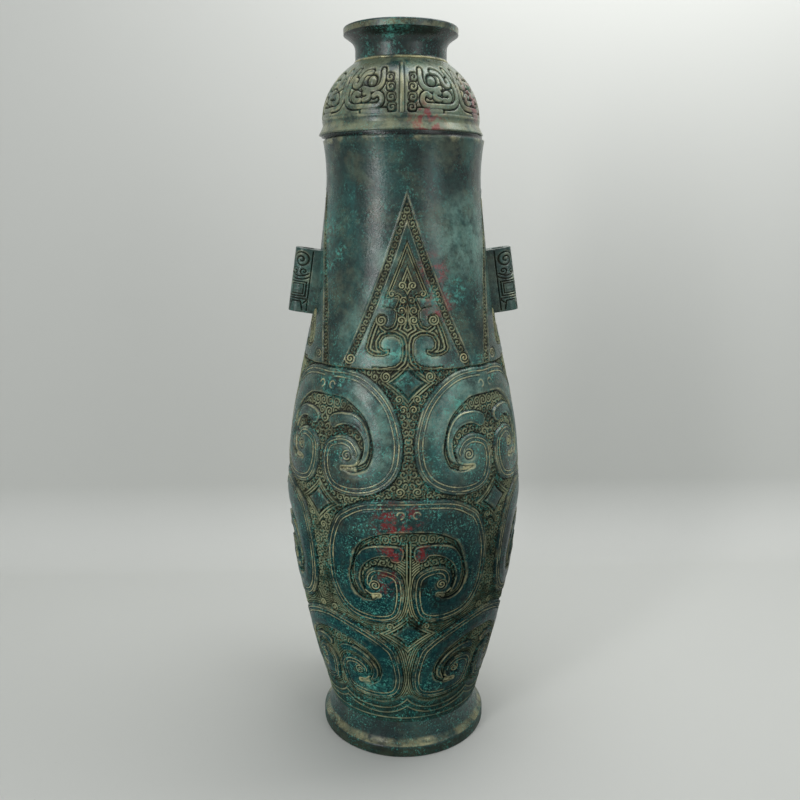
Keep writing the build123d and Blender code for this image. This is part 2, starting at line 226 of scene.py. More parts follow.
# Under the lower panels: lines that repeat their edge, one level line, and the plain wall between them
SKIRT_LINES, SKIRT_LEVEL, SKIRT_WIDTH, SKIRT_DEPTH = (7.5, 11.5), 26, 1.3, 0.85
SKIRT_TOP, SKIRT_RUN, SKIRT_GAP, SKIRT_LINES_FROM = (43, 46), (23.5, 31), 2.5, 27.5

# Leaf blades of the neck: front outline, side outline, and the sunk scroll that both hold
NECK_RADIUS = 54.0
FRONT_BLADE = [(0, 357), (38.7, 256)]
SIDE_BLADE = [(0, 359), (9, 357.5), (16, 352), (23, 329), (31.8, 302), (45, 256)]
SCROLL = [
    (0, 329.6), (14, 297), (13.2, 296), (6, 297), (5.9, 296.4), (8.2, 291.3), (16.4, 292.5), (9.5, 290.6),
    (7.2, 288.8), (7.4, 285), (8.8, 281.5), (11.5, 280.4), (13.2, 281.4), (11.6, 283.8), (11.9, 286.3),
    (14, 288), (16.5, 287.8), (18.5, 286.3), (19.6, 284), (21.5, 279), (23.1, 273.5), (23.9, 268.5),
    (22.9, 265.9), (20, 264.3), (16.9, 263.5), (12.9, 263.7), (10, 265.1), (9.6, 268.4), (13, 268),
    (14.5, 269), (14.9, 271.5), (13.4, 274.3), (11, 275.2), (7.6, 275.2), (4.5, 273.5), (3.6, 270.5),
    (3.6, 265), (4.5, 261.5), (7, 259.2), (14, 258), (19, 258.4), (19, 256), (0, 256),
]

# Spirals in the scroll and in a blade's corner: angle, height, radius
SCROLL_SPIRALS = [
    (15.3, 284.2, 3.3), (3.6, 289.5, 2.6), (3.6, 284.3, 2.6), (2.5, 295.3, 2.0), (9.4, 298.9, 2.0),
    (3.3, 303.6, 2.5),
]
BLADE_CORNER_SPIRAL = (32.4, 261.8, 3.2)

# The scroll: where it ends on a side blade, where its head starts, and its lines by distance in
SIDE_SCROLL_TOP = 296
SCROLL_HEAD_Z = 298.0
SCROLL_EDGE, SCROLL_PITCH, SCROLL_DEPTH, SCROLL_RISE = 0.8, 1.9, 1.0, 0.85
SCROLL_HEAD_BAND = ((2.4, 3.2), (4.6, 5.4))
SCROLL_HEAD_LINES = ((0.8, 1.1), (2.3, 0.8), (6.0, 1.2), (7.4, 1.0))

# Heights across a blade's border by distance in from its edge, its lines and its row of spirals
BLADE_AT = (-0.3, 0.7, 1.4, 5.2, 5.9, 6.6)
BLADE_HEIGHT = (0, 0.3, -0.8, -0.8, 0.25, 0)
BLADE_LINES, BLADE_LINE_WIDTH = (0.7, 5.9), 1.3
BLADE_CELL, BLADE_PITCH, BLADE_ROW_AT, BLADE_ROW_RISE = 4.2, 1.5, 1.25, 0.75
BLADE_ROW_IN, BLADE_ROW_OUT = (1.2, 1.5), (5.1, 5.4)

# The step under the lid, the height from which the neck is plain, and the grid's rows under and over it
MOUTH_STEP = 1.8
NECK_PLAIN_Z, NECK_ROWS = 362, (210, 26)

# Where belly, neck and foot meet: depth and run of the groove, and how the relief runs out above the foot
JOINT_GROOVE, JOINT_RUN, FOOT_RUN = -0.15, 1.2, 2.0

# A lid mask, drawn on the right of its fin: raised bands, spirals and eye
LID_RADIUS = 46.0
LID_BANDS = [
    [
        (20.2, 407.4), (17.6, 408.6), (15, 407.4), (14.3, 404.9), (15.8, 402.7), (19, 402), (28, 402),
        (37.5, 402.3), (41.5, 404.2), (43.2, 408), (43, 413), (41.4, 418), (39.4, 422.5),
    ],
    [(11.5, 399.2), (28, 399.2)],
    [(27.8, 409.3), (24.8, 409.3), (24.2, 406.6), (27.6, 405.6)],
    [(31.2, 405.5), (34.8, 405.3), (36.6, 407.4), (34.8, 409.5), (32.4, 408.8)],
    [(25.5, 421.3), (30, 420.6), (32.6, 418.3), (33, 415.6), (35, 413.6), (38.2, 414.2), (38.2, 417)],
    [(15.2, 422), (14.3, 417.5), (15.4, 413.4), (19, 411.2), (24, 411), (29, 412)],
]
LID_SPIRALS = [(9.0, 417.8, 2.6), (8.1, 412.5, 2.7), (7.5, 406.7, 2.7), (6.9, 401.1, 2.6)]
LID_EYE = (23, 416, 2.9)
LID_BAND_HALF, LID_GROOVE, LID_TURN = 1.15, 1.35, -1.5
LID_RELIEF_LOW, LID_BODY = 397.2, ((397.8, 398.6), (425.8, 427.0))
LID_FIN_WIDTH = 2.4
LID_RELIEF_DEPTH, LID_SPIRAL_PITCH, LID_EYE_RISE, LID_FIN_RISE = 1.2, 1.75, 1.6, 1.3

# The dome: levels of its hollow, its lip from the inside out, and the rays that find its outside
LID_HOLLOW = (425, 390)
LID_LIP_SHAPE = ((-6.0, 0), (-0.8, 0), (-0.15, 0.25))
DOME_RAYS = ((-9.5, 0.2, 12), (0.5, 47.5, 92))

# The crown's edge band, its rim from the top inward, and the bead at its base as height, width and rise
CROWN_BAND, CROWN_ROWS, CROWN_COLUMNS = 4.2, 40, 300
CROWN_RIM_SHAPE = ((1.0, 0), (0.35, -0.2), (0, -0.7))
CROWN_BEAD, CROWN_BEAD_RISE = (0.9, 1.9), 0.8

# A lug: its size about the bore, the middle of its drawing, and the grooves of that drawing
LUG_HALF_HEIGHT, LUG_COVER, LUG_CORNER, LUG_SINK = 19.5, 8.0, 6.0, 9.4
LUG_ROWS, LUG_COLUMNS, BORE_ROWS, BORE_RADIUS = 130, 230, 6, 4.5
LUG_FACE, LUG_STRETCH, LUG_GROOVE, LUG_DEPTH = 11.6, 1.17, 1.0, 0.9
LUG_FRAME = 6.2

# The foot: its lip, its hollow, the flange inside its top, its grid, and where the lip's top edge shines
FOOT_LIP, FOOT_HOLLOW, FOOT_FLANGE, FOOT_FLANGE_Z = 7.0, (17.5, 1), 4, 18
FOOT_ROWS, FOOT_COLUMNS, FOOT_WOBBLE = (40, 16), 360, 1.2
FOOT_SHINE = ((6.6, 7.2), (9.5, 14))
FOOT_LIP_SHAPE = ((-1.0, 0), (-0.3, 0.3), (0, 1.0), (0, 3.5), (0, 6.0), (-0.25, 6.75))

# Rows of the walls' inside, the height of the grid on a piece's map, and what counts as worn, and as sunk
# enough for full painted shade
INNER_ROWS, MAP_TOP = 12, 0.9
WEAR_REACH, FULL_WEAR, FULL_SUNK_SHADE = 3, 0.38, 0.42

# The bearing, in degrees, at which rays measure the plain walls between the ornaments
RAY_BEARING = 22.0
DOME_CENTRE_Z = 397.5

# Where red oxide and turquoise show, in metres, and how far each patch reaches
RED_PLACES = (
    ((0.016, -0.053, 0.312), 0.014), ((0.019, -0.055, 0.292), 0.014), ((-0.006, -0.075, 0.169), 0.02),
    ((-0.009, -0.075, 0.150), 0.014), ((0.006, -0.075, 0.150), 0.012), ((-0.012, -0.075, 0.130), 0.012),
)
LID_RED_PLACES = (((0.044, -0.018, 0.41), 0.022), ((0.012, -0.048, 0.394), 0.016))
AQUA_PLACES = (
    ((-0.044, -0.022, 0.335), 0.016), ((-0.046, -0.022, 0.312), 0.016), ((-0.038, -0.033, 0.322), 0.01),
    ((-0.013, -0.053, 0.296), 0.009), ((0.014, -0.053, 0.297), 0.01), ((-0.008, -0.06, 0.268), 0.012),
    ((0.009, -0.06, 0.268), 0.009), ((0.03, -0.047, 0.3), 0.014), ((-0.04, -0.05, 0.246), 0.016),
    ((0.0, -0.066, 0.249), 0.012), ((0.03, -0.06, 0.235), 0.016), ((-0.02, -0.06, 0.05), 0.02),
)
# Pale grey turquoise patches: partly pale patina, partly painted highlight on the upper fields and the neck
WASH_AND_HIGHLIGHT_PLACES = (
    ((-0.024, -0.064, 0.238), 0.022), ((-0.019, -0.068, 0.212), 0.026), ((0.036, -0.055, 0.245), 0.024),
    ((-0.024, -0.050, 0.275), 0.022), ((-0.011, -0.060, 0.262), 0.014), ((0.012, -0.060, 0.262), 0.012),
    ((0.03, -0.060, 0.205), 0.02), ((0.02, -0.065, 0.226), 0.02), ((-0.07, -0.026, 0.303), 0.032),
    ((0.07, -0.026, 0.303), 0.032), ((0.036, -0.036, 0.33), 0.036),
    ((-0.012, -0.051, 0.318), 0.010), ((-0.017, -0.05, 0.3), 0.011), ((-0.0113, -0.053, 0.27), 0.010),
    ((0.0087, -0.054, 0.27), 0.009), ((-0.023, -0.05, 0.26), 0.012),
)
CROWN_AQUA_PLACES = (
    ((-0.0095, -0.031, 0.447), 0.007), ((-0.0095, -0.028, 0.44), 0.006), ((-0.009, -0.026, 0.434), 0.005),
    ((-0.002, -0.031, 0.446), 0.006), ((-0.022, -0.018, 0.432), 0.006),
)

# Noise patterns: clouds to the metre, detail, roughness, where each starts and is full, and its share
CLOUDS = {
    "walls": Cloud(24, 7, 0.66, 0.34, 0.66),
    "streaks": Cloud(46, 6, 0.62, 0.5, 0.66, 0.5),
    "deep": Cloud(60, 6, 0.7, 0.32, 0.54),
    "glints": Cloud(300, 5, 0.75, 0.5, 0.62, 0.6),
    "wash_and_highlight": Cloud(90, 6, 0.7, 0.32, 0.62, 0.75),
    "grain": Cloud(480, 5, 0.7, 0.46, 0.66, 0.4),
    "stain": Cloud(190, 6, 0.7, 0.46, 0.56, 0.92),
    "earth": Cloud(160, 5, 0.6, 0.46, 0.68),
    "moss": Cloud(110, 6, 0.7, 0.44, 0.64),
    "specks": Cloud(860, 3, 0.7, 0.545, 0.6),
    "speck fields": Cloud(40, 5, 0.65, 0.37, 0.56),
    "flakes": Cloud(330, 5, 0.75, 0.58, 0.66),
    "flake fields": Cloud(26, 5, 0.6, 0.48, 0.64),
    "ragged": Cloud(400, 6, 0.8, 0.48, 0.57, 0.85),
    "cool": Cloud(130, 5, 0.7, 0.42, 0.6),
    "crest": Cloud(120, 5, 0.7, 0.34, 0.64),
    "lines": Cloud(70, 5, 0.65, 0.34, 0.6),
    "rubbed": Cloud(90, 5, 0.65, 0.46, 0.66),
    "fleck": Cloud(300, 2, 0.6, 0.72, 0.78, 0.5),
}
STREAK_STRETCH = (1, 1, 0.35)
SOIL_CLOUDS, SOIL_RUN = (70, 6, 0.7), 0.16
GLOSS_CLOUDS, PIT_CLOUDS, PAPER_SHADE = (150, 5, 0.6), (700, 4, 0.65), 0.8

# Runs of the patina: heights in metres for the blue and darker low zone, whose darkening is painted shade,
# sparse bloom and dull crests, and places across for shade
BLUE_AND_SHADE_RUN, SPARSE_RUN, SHADE_RUN, CREST_RUN = (0.05, -0.04), (0.25, 0.28), (-0.005, 0.03), (0.3, 0.95)
CREST_SHINE, GLOSS, POLISH = (0.09, 0.13, 0.75, 0.9), (0.3, 0.7, 0.2, 0.36), (0.0, 1.0, 0.06, 0.65)

# What sets each patina apart from the plain one
PATINAS = {
    "body_patina": {
        "blue_and_shade_below": 0.17, "bloom": 0.9, "thin": 0.6,
        "red": RED_PLACES, "aqua": AQUA_PLACES, "pale_and_highlight": WASH_AND_HIGHLIGHT_PLACES,
    },
    "foot_patina": {"earthy": 0.9, "dark": 0.25},
    "lid_patina": {"brown": 0.38, "soil": 0.34, "rub": 0.62, "bloom": 0.35, "red": LID_RED_PLACES},
    "crown_patina": {"earthy": 0.6, "bloom": 0.4, "dark": 0.68, "aqua": CROWN_AQUA_PLACES},
    "inner_patina": {"earthy": 0.4, "bloom": 0.2, "dark": 0.7},
}

# Area lamps: name, place, aim, size and power
LAMPS = (
    ("key", (-0.72, -0.86, 0.7), (0, 0, 0.3), (0.17, 0.9), 4.1),
    ("fill", (0.8, -1.0, 0.6), (0, 0, 0.3), (0.4, 0.7), 1.45),
    ("top", (0.0, -0.1, 1.35), (0, 0.05, 0.2), (1.3, 0.8), 3.2),
    ("wall", (0.26, 0.04, 0.8), (0.26, 0.3, 0.4), (0.7, 0.3), 2.6),
)
WORLD_COLOUR, WORLD_STRENGTH = (0.8, 0.85, 0.87, 1), 0.39

# The paper sweep in metres: radius of its bend, where its wall stands, and half its width
SWEEP_BEND, SWEEP_BACK, SWEEP_HALF = 0.07, 0.30, 3.0

# The camera: focal length and sideways shift in pixels of the picture's width, place and angles
PICTURE_WIDTH, FOCAL_LENGTH, SIDE_SHIFT, SENSOR = 800, 839, -3.5, 36
CAMERA_PLACE, CAMERA_DOWN, CAMERA_TURN = (-0.0223, -0.5325, 0.347), 12.92, -2.4


def size_setting(name, description, millimetres):
    """A length that the sidebar shows in the scene's unit."""
    return bpy.props.FloatProperty(
        name=name, description=description, default=millimetres * MM,
        min=0, unit="LENGTH", subtype="DISTANCE",
    )


def colour_setting(name, description, *display):
    """A colour, given by its display values."""
    return bpy.props.FloatVectorProperty(
        name=name, description=description, default=srgb(*display),
        size=4, min=0, max=1, subtype="COLOR",
    )


class HuSizes(bpy.types.PropertyGroup):
    """Sizes of the cast relief."""

    relief_depth: size_setting("Relief depth", "How far the ground lies under the plain wall", 1.8)
    spiral_rise: size_setting("Spiral rise", "How far the spirals stand up from the ground", 0.75)
    body_wall: size_setting("Wall", "Thickness of the belly and the neck", 4)
    cast_wobble: size_setting("Wobble", "How far the cast walls wander from a true round", 0.2)


class HuColours(bpy.types.PropertyGroup):
    """Colours of the patina and of the room."""

    dark: colour_setting("Dark patina", "Blue-black green of the rubbed metal", 17, 31, 30)
    green: colour_setting("Green patina", "Main grey-green of the walls", 42, 74, 67)
    sea: colour_setting("Sea green", "Lighter blue-green streaks", 38, 104, 100)
    blue: colour_setting("Blue patina", "Blue-green of the lower fields", 4, 56, 62)
    turquoise: colour_setting("Turquoise bloom", "Pale specks and drips of malachite", 94, 182, 166)
    earth: colour_setting("Earth", "Brown deposit in the ground of the relief", 62, 56, 38)
    # Near black of dark patina and dirt, also laid as painted shade in grooves and low down on the right
    near_black_and_shade: colour_setting("Grooves", "Near black of the deepest grooves", 9, 12, 10)
    gilt: colour_setting("Worn crests", "Pale gold of the rubbed ridges", 212, 206, 158)
    khaki: colour_setting("Khaki", "Pale brown-green of the lid and of lines in the ground", 168, 174, 138)
    moss: colour_setting("Moss", "Grey-green deposit in the ground of the lower belly", 70, 86, 66)
    wash_and_highlight: colour_setting("Pale wash", "Grey turquoise cloud over the upper fields", 124, 162, 150)
    # Pale patches: partly pale patina, partly painted highlight
    cuprite: colour_setting("Red oxide", "Dull red patches", 126, 36, 40)
    backdrop: colour_setting("Backdrop", "Pale grey paper behind and under the vessel", 206, 207, 203)


def fade(value, start, end):
    """0 before start, 1 past end, and a smooth rise between them."""
    share = np.clip((value - start) / (end - start), 0, 1)
    return share * share * (3 - 2 * share)


def ridge(distance, centre, width):
    """A rounded line: 1 at its centre and 0 from half its width away, along a parabola."""
    return np.clip(1 - ((distance - centre) / (0.5 * width)) ** 2, 0, 1)


def fold(angle, span):
    """An angle that runs up to span and back again, so that one drawing repeats in mirror image."""
    return span - np.abs(angle % (2 * span) - span)


def smooth_line(points, steps=8):
    """A curve through the points: on each span a cubic whose ends head along the neighbours' chord."""
    knots = np.asarray(points, float)
    knots = np.vstack([2 * knots[0] - knots[1], knots, 2 * knots[-1] - knots[-2]])
    a, b, c, d = knots[:-3], knots[1:-2], knots[2:-1], knots[3:]
    t = np.linspace(0, 1, steps, endpoint=False)[:, None, None]
    bend = (2 * a - 5 * b + 4 * c - d) * t**2 + (3 * b - a - 3 * c + d) * t**3
    curve = 0.5 * (2 * b + (c - a) * t + bend)
    return np.vstack([curve.transpose(1, 0, 2).reshape(-1, 2), knots[-2:-1]])


def unrolled(points, radius):
    """One angle and height, or a line of them, laid flat in millimetres."""
    return np.asarray(points, float) * (math.radians(1) * radius, 1)


def nearest(x, z, line):
    """Distance from each place to a line of straight runs, and how far along it the nearest point is."""
    distance = np.full(x.shape, np.inf)
    along = np.zeros(x.shape)
    travelled = 0.0
    for (start_x, start_z), (end_x, end_z) in zip(line[:-1], line[1:]):
        run_x, run_z = end_x - start_x, end_z - start_z
        length = math.hypot(run_x, run_z)
        if length == 0:
            continue
        share = ((x - start_x) * run_x + (z - start_z) * run_z) / length**2
        share = np.clip(share, 0, 1)
        gap = np.hypot(x - start_x - share * run_x, z - start_z - share * run_z)
        closer = gap < distance
        distance[closer] = gap[closer]
        along[closer] = travelled + share[closer] * length
        travelled += length
    return distance, along


def inside(x, z, outline):
    """True where a level line to the right crosses the closed outline an odd number of times."""
    odd = np.zeros(x.shape, bool)
    for (start_x, start_z), (end_x, end_z) in zip(outline, np.roll(outline, -1, axis=0)):
        if start_z == end_z:
            continue
        crosses = (start_z > z) != (end_z > z)
        odd ^= crosses & (x < start_x + (z - start_z) * (end_x - start_x) / (end_z - start_z))
    return odd


def spiral(x, z, pitch, turn, squareness=2.0):
    """A winding ridge, 0 to 1: its crest lies where radius over pitch equals the turns made so far."""
    radius = (np.abs(x) ** squareness + np.abs(z) ** squareness) ** (1 / squareness)
    wind = radius / pitch - turn * np.arctan2(z, x) / (2 * math.pi)
    return 0.5 + 0.5 * np.cos(2 * math.pi * wind)


def spiral_cells(along, away, cell, pitch):
    """Rows of squarish spirals, one to a cell, winding by turns to the left and to the right."""
    column, row = np.floor(along / cell), np.floor(away / cell)
    turn = np.where((column + row) % 2 == 0, 1.0, -1.0)
    return spiral(along - (column + 0.5) * cell, away - (row + 0.5) * cell, pitch, turn, SQUARISH)


def between(value, rise, fall):
    """0, then 1 past the rise, then 0 again past the fall."""
    return fade(value, *rise) * (1 - fade(value, *fall))


def strips(distance):
    """Parallel ridges, 0 to 1, beside a line."""
    return 0.5 - 0.5 * np.cos(2 * math.pi * distance / STRIP_PITCH)


class Relief:
    """Heights over the plain wall on a grid, with how much of each place is crest line and ground."""

    LAYERS = ("height", "crest", "ground")

    def __init__(self, shape):
        self.height = np.zeros(shape)
        self.crest = np.zeros(shape)
        self.ground = np.zeros(shape)

    def part(self, where):
        """The same relief on some of its rows or columns, in the order given."""
        taken = Relief((1, 1))
        for layer in self.LAYERS:
            setattr(taken, layer, getattr(self, layer)[where])
        return taken

    def paste(self, where, other):
        """Another relief in the place of some rows."""
        for layer in self.LAYERS:
            getattr(self, layer)[where] = getattr(other, layer)

    def put(self, where, **layers):
        """New values of the named layers on the places of a mask."""
        for layer, values in layers.items():
            setattr(self, layer, np.where(where, values, getattr(self, layer)))

    def lay(self, share, **layers):
        """New values of the named layers, mixed in by a share."""
        for layer, values in layers.items():
            kept = getattr(self, layer)
            kept += share * (values - kept)

    def stamp(self, x, z, centre, radius, wind, turn=1.0):
        """A round spiral that takes the place of what was drawn there."""
        pitch, low, high = wind
        gap = np.hypot(x - centre[0], z - centre[1])
        within = 1 - fade(gap, radius - 0.3, radius + 0.5)
        ridges = spiral(x - centre[0], z - centre[1], pitch, turn)
        self.height += within * (low + (high - low) * ridges - self.height)
        self.crest = np.maximum(self.crest * (1 - within), within * ridges)


def draw_panel(panel, angle, z, depth, rise):
    """One coil of a belly panel on its half of the panel: border lines, plain field, hollow, hook and eye."""
    x = np.radians(angle) * panel.radius
    edge, rim, slit, hook = (
        smooth_line(unrolled(line, panel.radius))
        for line in (panel.edge, panel.rim, panel.slit, panel.hook + panel.hook[:1])
    )
    to_edge, along_edge = nearest(x, z, edge)
    to_rim, along_rim = nearest(x, z, rim)
    to_slit = nearest(x, z, slit)[0]
    to_hook = nearest(x, z, hook)[0]
    raised = inside(x, z, np.vstack([edge, slit[::-1], rim[::-1]]))
    hooked = inside(x, z, hook) & ~raised

    # Border lines stop where the edge runs into the eye, and the inner one curls up beside the axis
    end = along_edge.max()
    run_out = 1 - fade(along_edge, end - LINES_END[0], end - LINES_END[1])
    border = np.interp(to_edge, BORDER_AT, BORDER_HEIGHT)
    to_wall = np.minimum(to_rim, to_slit)
    wall = -depth * (1 - fade(to_wall, 0, WALL_RUN))
    bulge = FIELD_BULGE * fade(np.minimum(to_edge - BORDER_WIDTH, to_wall), 0, BULGE_RUN)
    slit_lip = ridge(to_slit, *SLIT_LIP)
    field = np.minimum(border * run_out, wall) + bulge + SLIT_RISE * slit_lip
    lines = run_out * np.max([ridge(to_edge, at, LINE_WIDTH) for at in BORDER_LINES], axis=0)
    lines = np.maximum.reduce([lines, RIM_SHINE * ridge(to_rim, *RIM_LIP), slit_lip])
    if panel.curl_z:
        curl_x = math.radians(CURL_ANGLE) * panel.radius
        beside = 1 - fade(x, curl_x - CURL_FADE, curl_x)
        beside *= (to_edge > CURL_BORDER[0]) & (to_edge < CURL_BORDER[1]) & (z > panel.curl_z - CURL_DROP)
        field *= 1 - beside
        lines *= 1 - beside
        ring = ridge(np.hypot(x - curl_x, z - panel.curl_z), CURL_RADIUS, CURL_LINE)
        ring *= (x > curl_x - CURL_TAIL) & ~((x > curl_x) & (z < panel.curl_z))
        field += CURL_RISE * ring
        lines = np.maximum(lines, ring)

    # Ground: spirals that follow whichever outline is nearer, or lines beside it
    by_rim = to_rim < to_edge
    to_line = np.minimum(to_rim, to_edge)
    wide = spiral_cells(along_rim, to_rim - RIM_CELLS[0], *RIM_CELLS[1:])
    fine = spiral_cells(along_edge, to_edge - EDGE_CELLS[0], *EDGE_CELLS[1:])
    narrow = np.where(by_rim, to_rim + to_hook < NARROW_GAP, z < LINES_BELOW)
    wind = np.where(narrow, strips(to_line), np.where(by_rim, wide, fine))
    ground = -depth + rise * wind * fade(np.minimum(to_line, to_hook), *GROUND_RUN)
    drawn = Relief(x.shape)
    drawn.put(True, height=ground, ground=1.0)
    drawn.put(raised, height=field, crest=lines, ground=0.0)
    tongue = ~raised & (to_slit + to_rim < SLIT_TONGUE)
    drawn.put(tongue, height=TONGUE_HEIGHT, crest=1.0, ground=0.0)
    hook_height = -depth + (depth - HOOK_DROP) * fade(to_hook, 0, HOOK_SHOULDER)
    hook_height += 0.15 * ridge(to_hook, *HOOK_EDGE) - 0.35 * ridge(to_hook, *HOOK_GROOVE)
    drawn.put(hooked, height=hook_height, crest=0.8 * ridge(to_hook, *HOOK_LINE), ground=0.0)
    drawn.stamp(x, z, unrolled(panel.eye, panel.radius), panel.eye_radius, EYE_WIND, -1.0)
    return drawn, raised | hooked, to_edge


def stem_lines(x, z, to_edge):
    """Lines between a middle panel's coils, with the upright pair above them, and where they lie."""
    upright = (x < UPRIGHT_HALF) & (z < UPRIGHT_TOP)
    lines = strips(to_edge)
    lines += upright * fade(z, *UPRIGHT_RUN) * (ridge(x, *UPRIGHT_LINE) - lines)
    return lines, ((x < STEM_HALF) & (z < STEM_TOP)) | (upright & (z > UPRIGHT_RUN[0]))


def belly_relief(angle, z, sizes):
    """The belly on an eighth of a turn: each place takes the panel it is on, or else the nearest one."""
    depth, rise = sizes.relief_depth / MM, sizes.spiral_rise / MM
    whole = Relief(angle.shape)
    whole.put(True, height=-depth, ground=1.0)
    taken = np.zeros(angle.shape, bool)
    closest = np.full(angle.shape, np.inf)
    to_lower = np.full(angle.shape, np.inf)
    for panel in TIER_PANELS:
        levels = [point[1] for point in panel.edge]
        rows = (z[:, 0] > min(levels) - PANEL_REACH) & (z[:, 0] < max(levels) + PANEL_REACH)
        away = np.abs(angle[rows] - panel.axis)
        drawn, solid, to_edge = draw_panel(panel, away, z[rows], depth, rise)
        better = solid | (~taken[rows] & (to_edge < closest[rows]))
        tier = whole.part(rows)
        tier.put(better, height=drawn.height, crest=drawn.crest, ground=drawn.ground)
        if panel is LOWER_PANEL:
            to_lower[rows] = np.where(solid, 0, to_edge)
        if panel is MIDDLE_PANEL:
            lines, stem = stem_lines(np.radians(away) * panel.radius, z[rows], to_edge)
            tier.put(stem & ~solid, height=-depth + STEM_RISE * lines, crest=lines)
        whole.paste(rows, tier)
        closest[rows] = np.minimum(closest[rows], to_edge)
        taken[rows] |= solid

    free = ~taken
    for stud_angle, stud_z, half_width, half_height, radius in STUDS:
        x = np.radians(np.abs(angle - stud_angle)) * radius
        spread = (x / half_width) ** STUD_HOLLOWING + (np.abs(z - stud_z) / half_height) ** STUD_HOLLOWING
        stud = fade(1 - spread, *STUD_EDGE) * free
        around = fade(2 - spread, *STUD_REACH) * free
        frames = np.max([ridge(spread, at, STUD_LINE) for at in STUD_FRAMES], axis=0) * free
        whole.lay(around, height=STUD_GROUND + frames, crest=0.45 * frames)
        whole.lay(stud, height=STUD_HEIGHT + STUD_RISE * (1 - np.minimum(spread, 1)), crest=0)
        whole.lay(0.9 * stud, ground=0)
    height, crest = whole.height.copy(), whole.crest.copy()
    for spiral_angle, spiral_z, radius in BELLY_SPIRALS:
        centre = math.radians(spiral_angle) * BELLY_RADIUS, spiral_z
        whole.stamp(np.radians(angle) * BELLY_RADIUS, z, centre, radius, BELLY_WIND)
    whole.put(taken, height=height, crest=crest)

    # Below the lower panels: lines that repeat their edge, one level line, then the plain wall
    under = (1 - fade(z, *SKIRT_TOP)) * free * (to_lower > SKIRT_GAP)
    lines = np.max([ridge(to_lower, at, SKIRT_WIDTH) for at in SKIRT_LINES], axis=0)
    level_line = ridge(z, SKIRT_LEVEL, SKIRT_WIDTH)
    plain = SKIRT_DEPTH * (lines * (z > SKIRT_LINES_FROM) - fade(z, *SKIRT_RUN)) + 0.5 * level_line
    whole.lay(under, height=plain, crest=0.65 * np.maximum(lines, level_line))
    whole.lay(0.6 * under, ground=0)

    # The belly ends in a shallow groove under the neck and runs out level into the foot
    whole.lay(fade(z, SHOULDER_Z - JOINT_RUN, SHOULDER_Z), height=JOINT_GROOVE)
    whole.height *= fade(z, FOOT_TOP, FOOT_TOP + FOOT_RUN)
    return whole


def draw_blade(whole, x, z, edge, scroll_top):
    """A leaf blade: edge line, row of small spirals, inner line, plain field and the sunk scroll."""
    to_edge, along = nearest(x, z, edge)
    within = inside(x, z, np.vstack([edge, [(-1, edge[-1][1]), (-1, edge[0][1])]]))
    in_row = between(to_edge, BLADE_ROW_IN, BLADE_ROW_OUT)
    row = spiral_cells(along, to_edge - BLADE_ROW_AT, BLADE_CELL, BLADE_PITCH) * in_row
    lines = np.max([ridge(to_edge, at, BLADE_LINE_WIDTH) for at in BLADE_LINES], axis=0)
    height = np.interp(to_edge, BLADE_AT, BLADE_HEIGHT) + BLADE_ROW_RISE * row
    whole.put(within, height=height, crest=np.maximum(0.62 * lines, 0.5 * row), ground=in_row)

    outline = unrolled(SCROLL, NECK_RADIUS)
    to_scroll = nearest(x, z, outline[:-1])[0]
    sunk = inside(x, z, outline) & within & (z < scroll_top)
    crests = (0.5 + 0.5 * np.cos(2 * math.pi * (to_scroll - SCROLL_EDGE) / SCROLL_PITCH)) ** 2
    crests *= fade(to_scroll, 0.2, 0.7)
    head_crests = np.max([ridge(to_scroll, at, width) for at, width in SCROLL_HEAD_LINES], axis=0)
    head = fade(z, SCROLL_HEAD_Z - 1, SCROLL_HEAD_Z + 1)
    band = head * between(to_scroll, *SCROLL_HEAD_BAND)
    crests += head * (np.maximum(head_crests, 0.5 * band) - crests)
    whole.put(sunk, height=SCROLL_RISE * crests - SCROLL_DEPTH, crest=0.75 * crests, ground=1 - 0.5 * band)
    for *place, radius in SCROLL_SPIRALS:
        if place[1] < scroll_top:
            whole.stamp(x, z, unrolled(place, NECK_RADIUS), radius, SCROLL_WIND)
    *place, radius = BLADE_CORNER_SPIRAL
    whole.stamp(x, z, unrolled(place, NECK_RADIUS), radius, CORNER_WIND)


def neck_relief(angle, z):
    """The neck on a quarter of a turn, from the axis of the front blade to the axis of a side blade."""
    whole = Relief(angle.shape)
    front_edge = unrolled(FRONT_BLADE, NECK_RADIUS)
    side_edge = smooth_line(unrolled(SIDE_BLADE, NECK_RADIUS))
    draw_blade(whole, np.radians(angle) * NECK_RADIUS, z, front_edge, MOUTH_Z)
    draw_blade(whole, np.radians(90 - angle) * NECK_RADIUS, z, side_edge, SIDE_SCROLL_TOP)
    # A step under the lid's lip, which the sunk mask then paints dark as shade
    whole.height -= MOUTH_STEP * fade(z, MOUTH_Z - 1.5, MOUTH_Z - 1.0)
    whole.lay(1 - fade(z, SHOULDER_Z, SHOULDER_Z + JOINT_RUN), height=JOINT_GROOVE)
    return whole


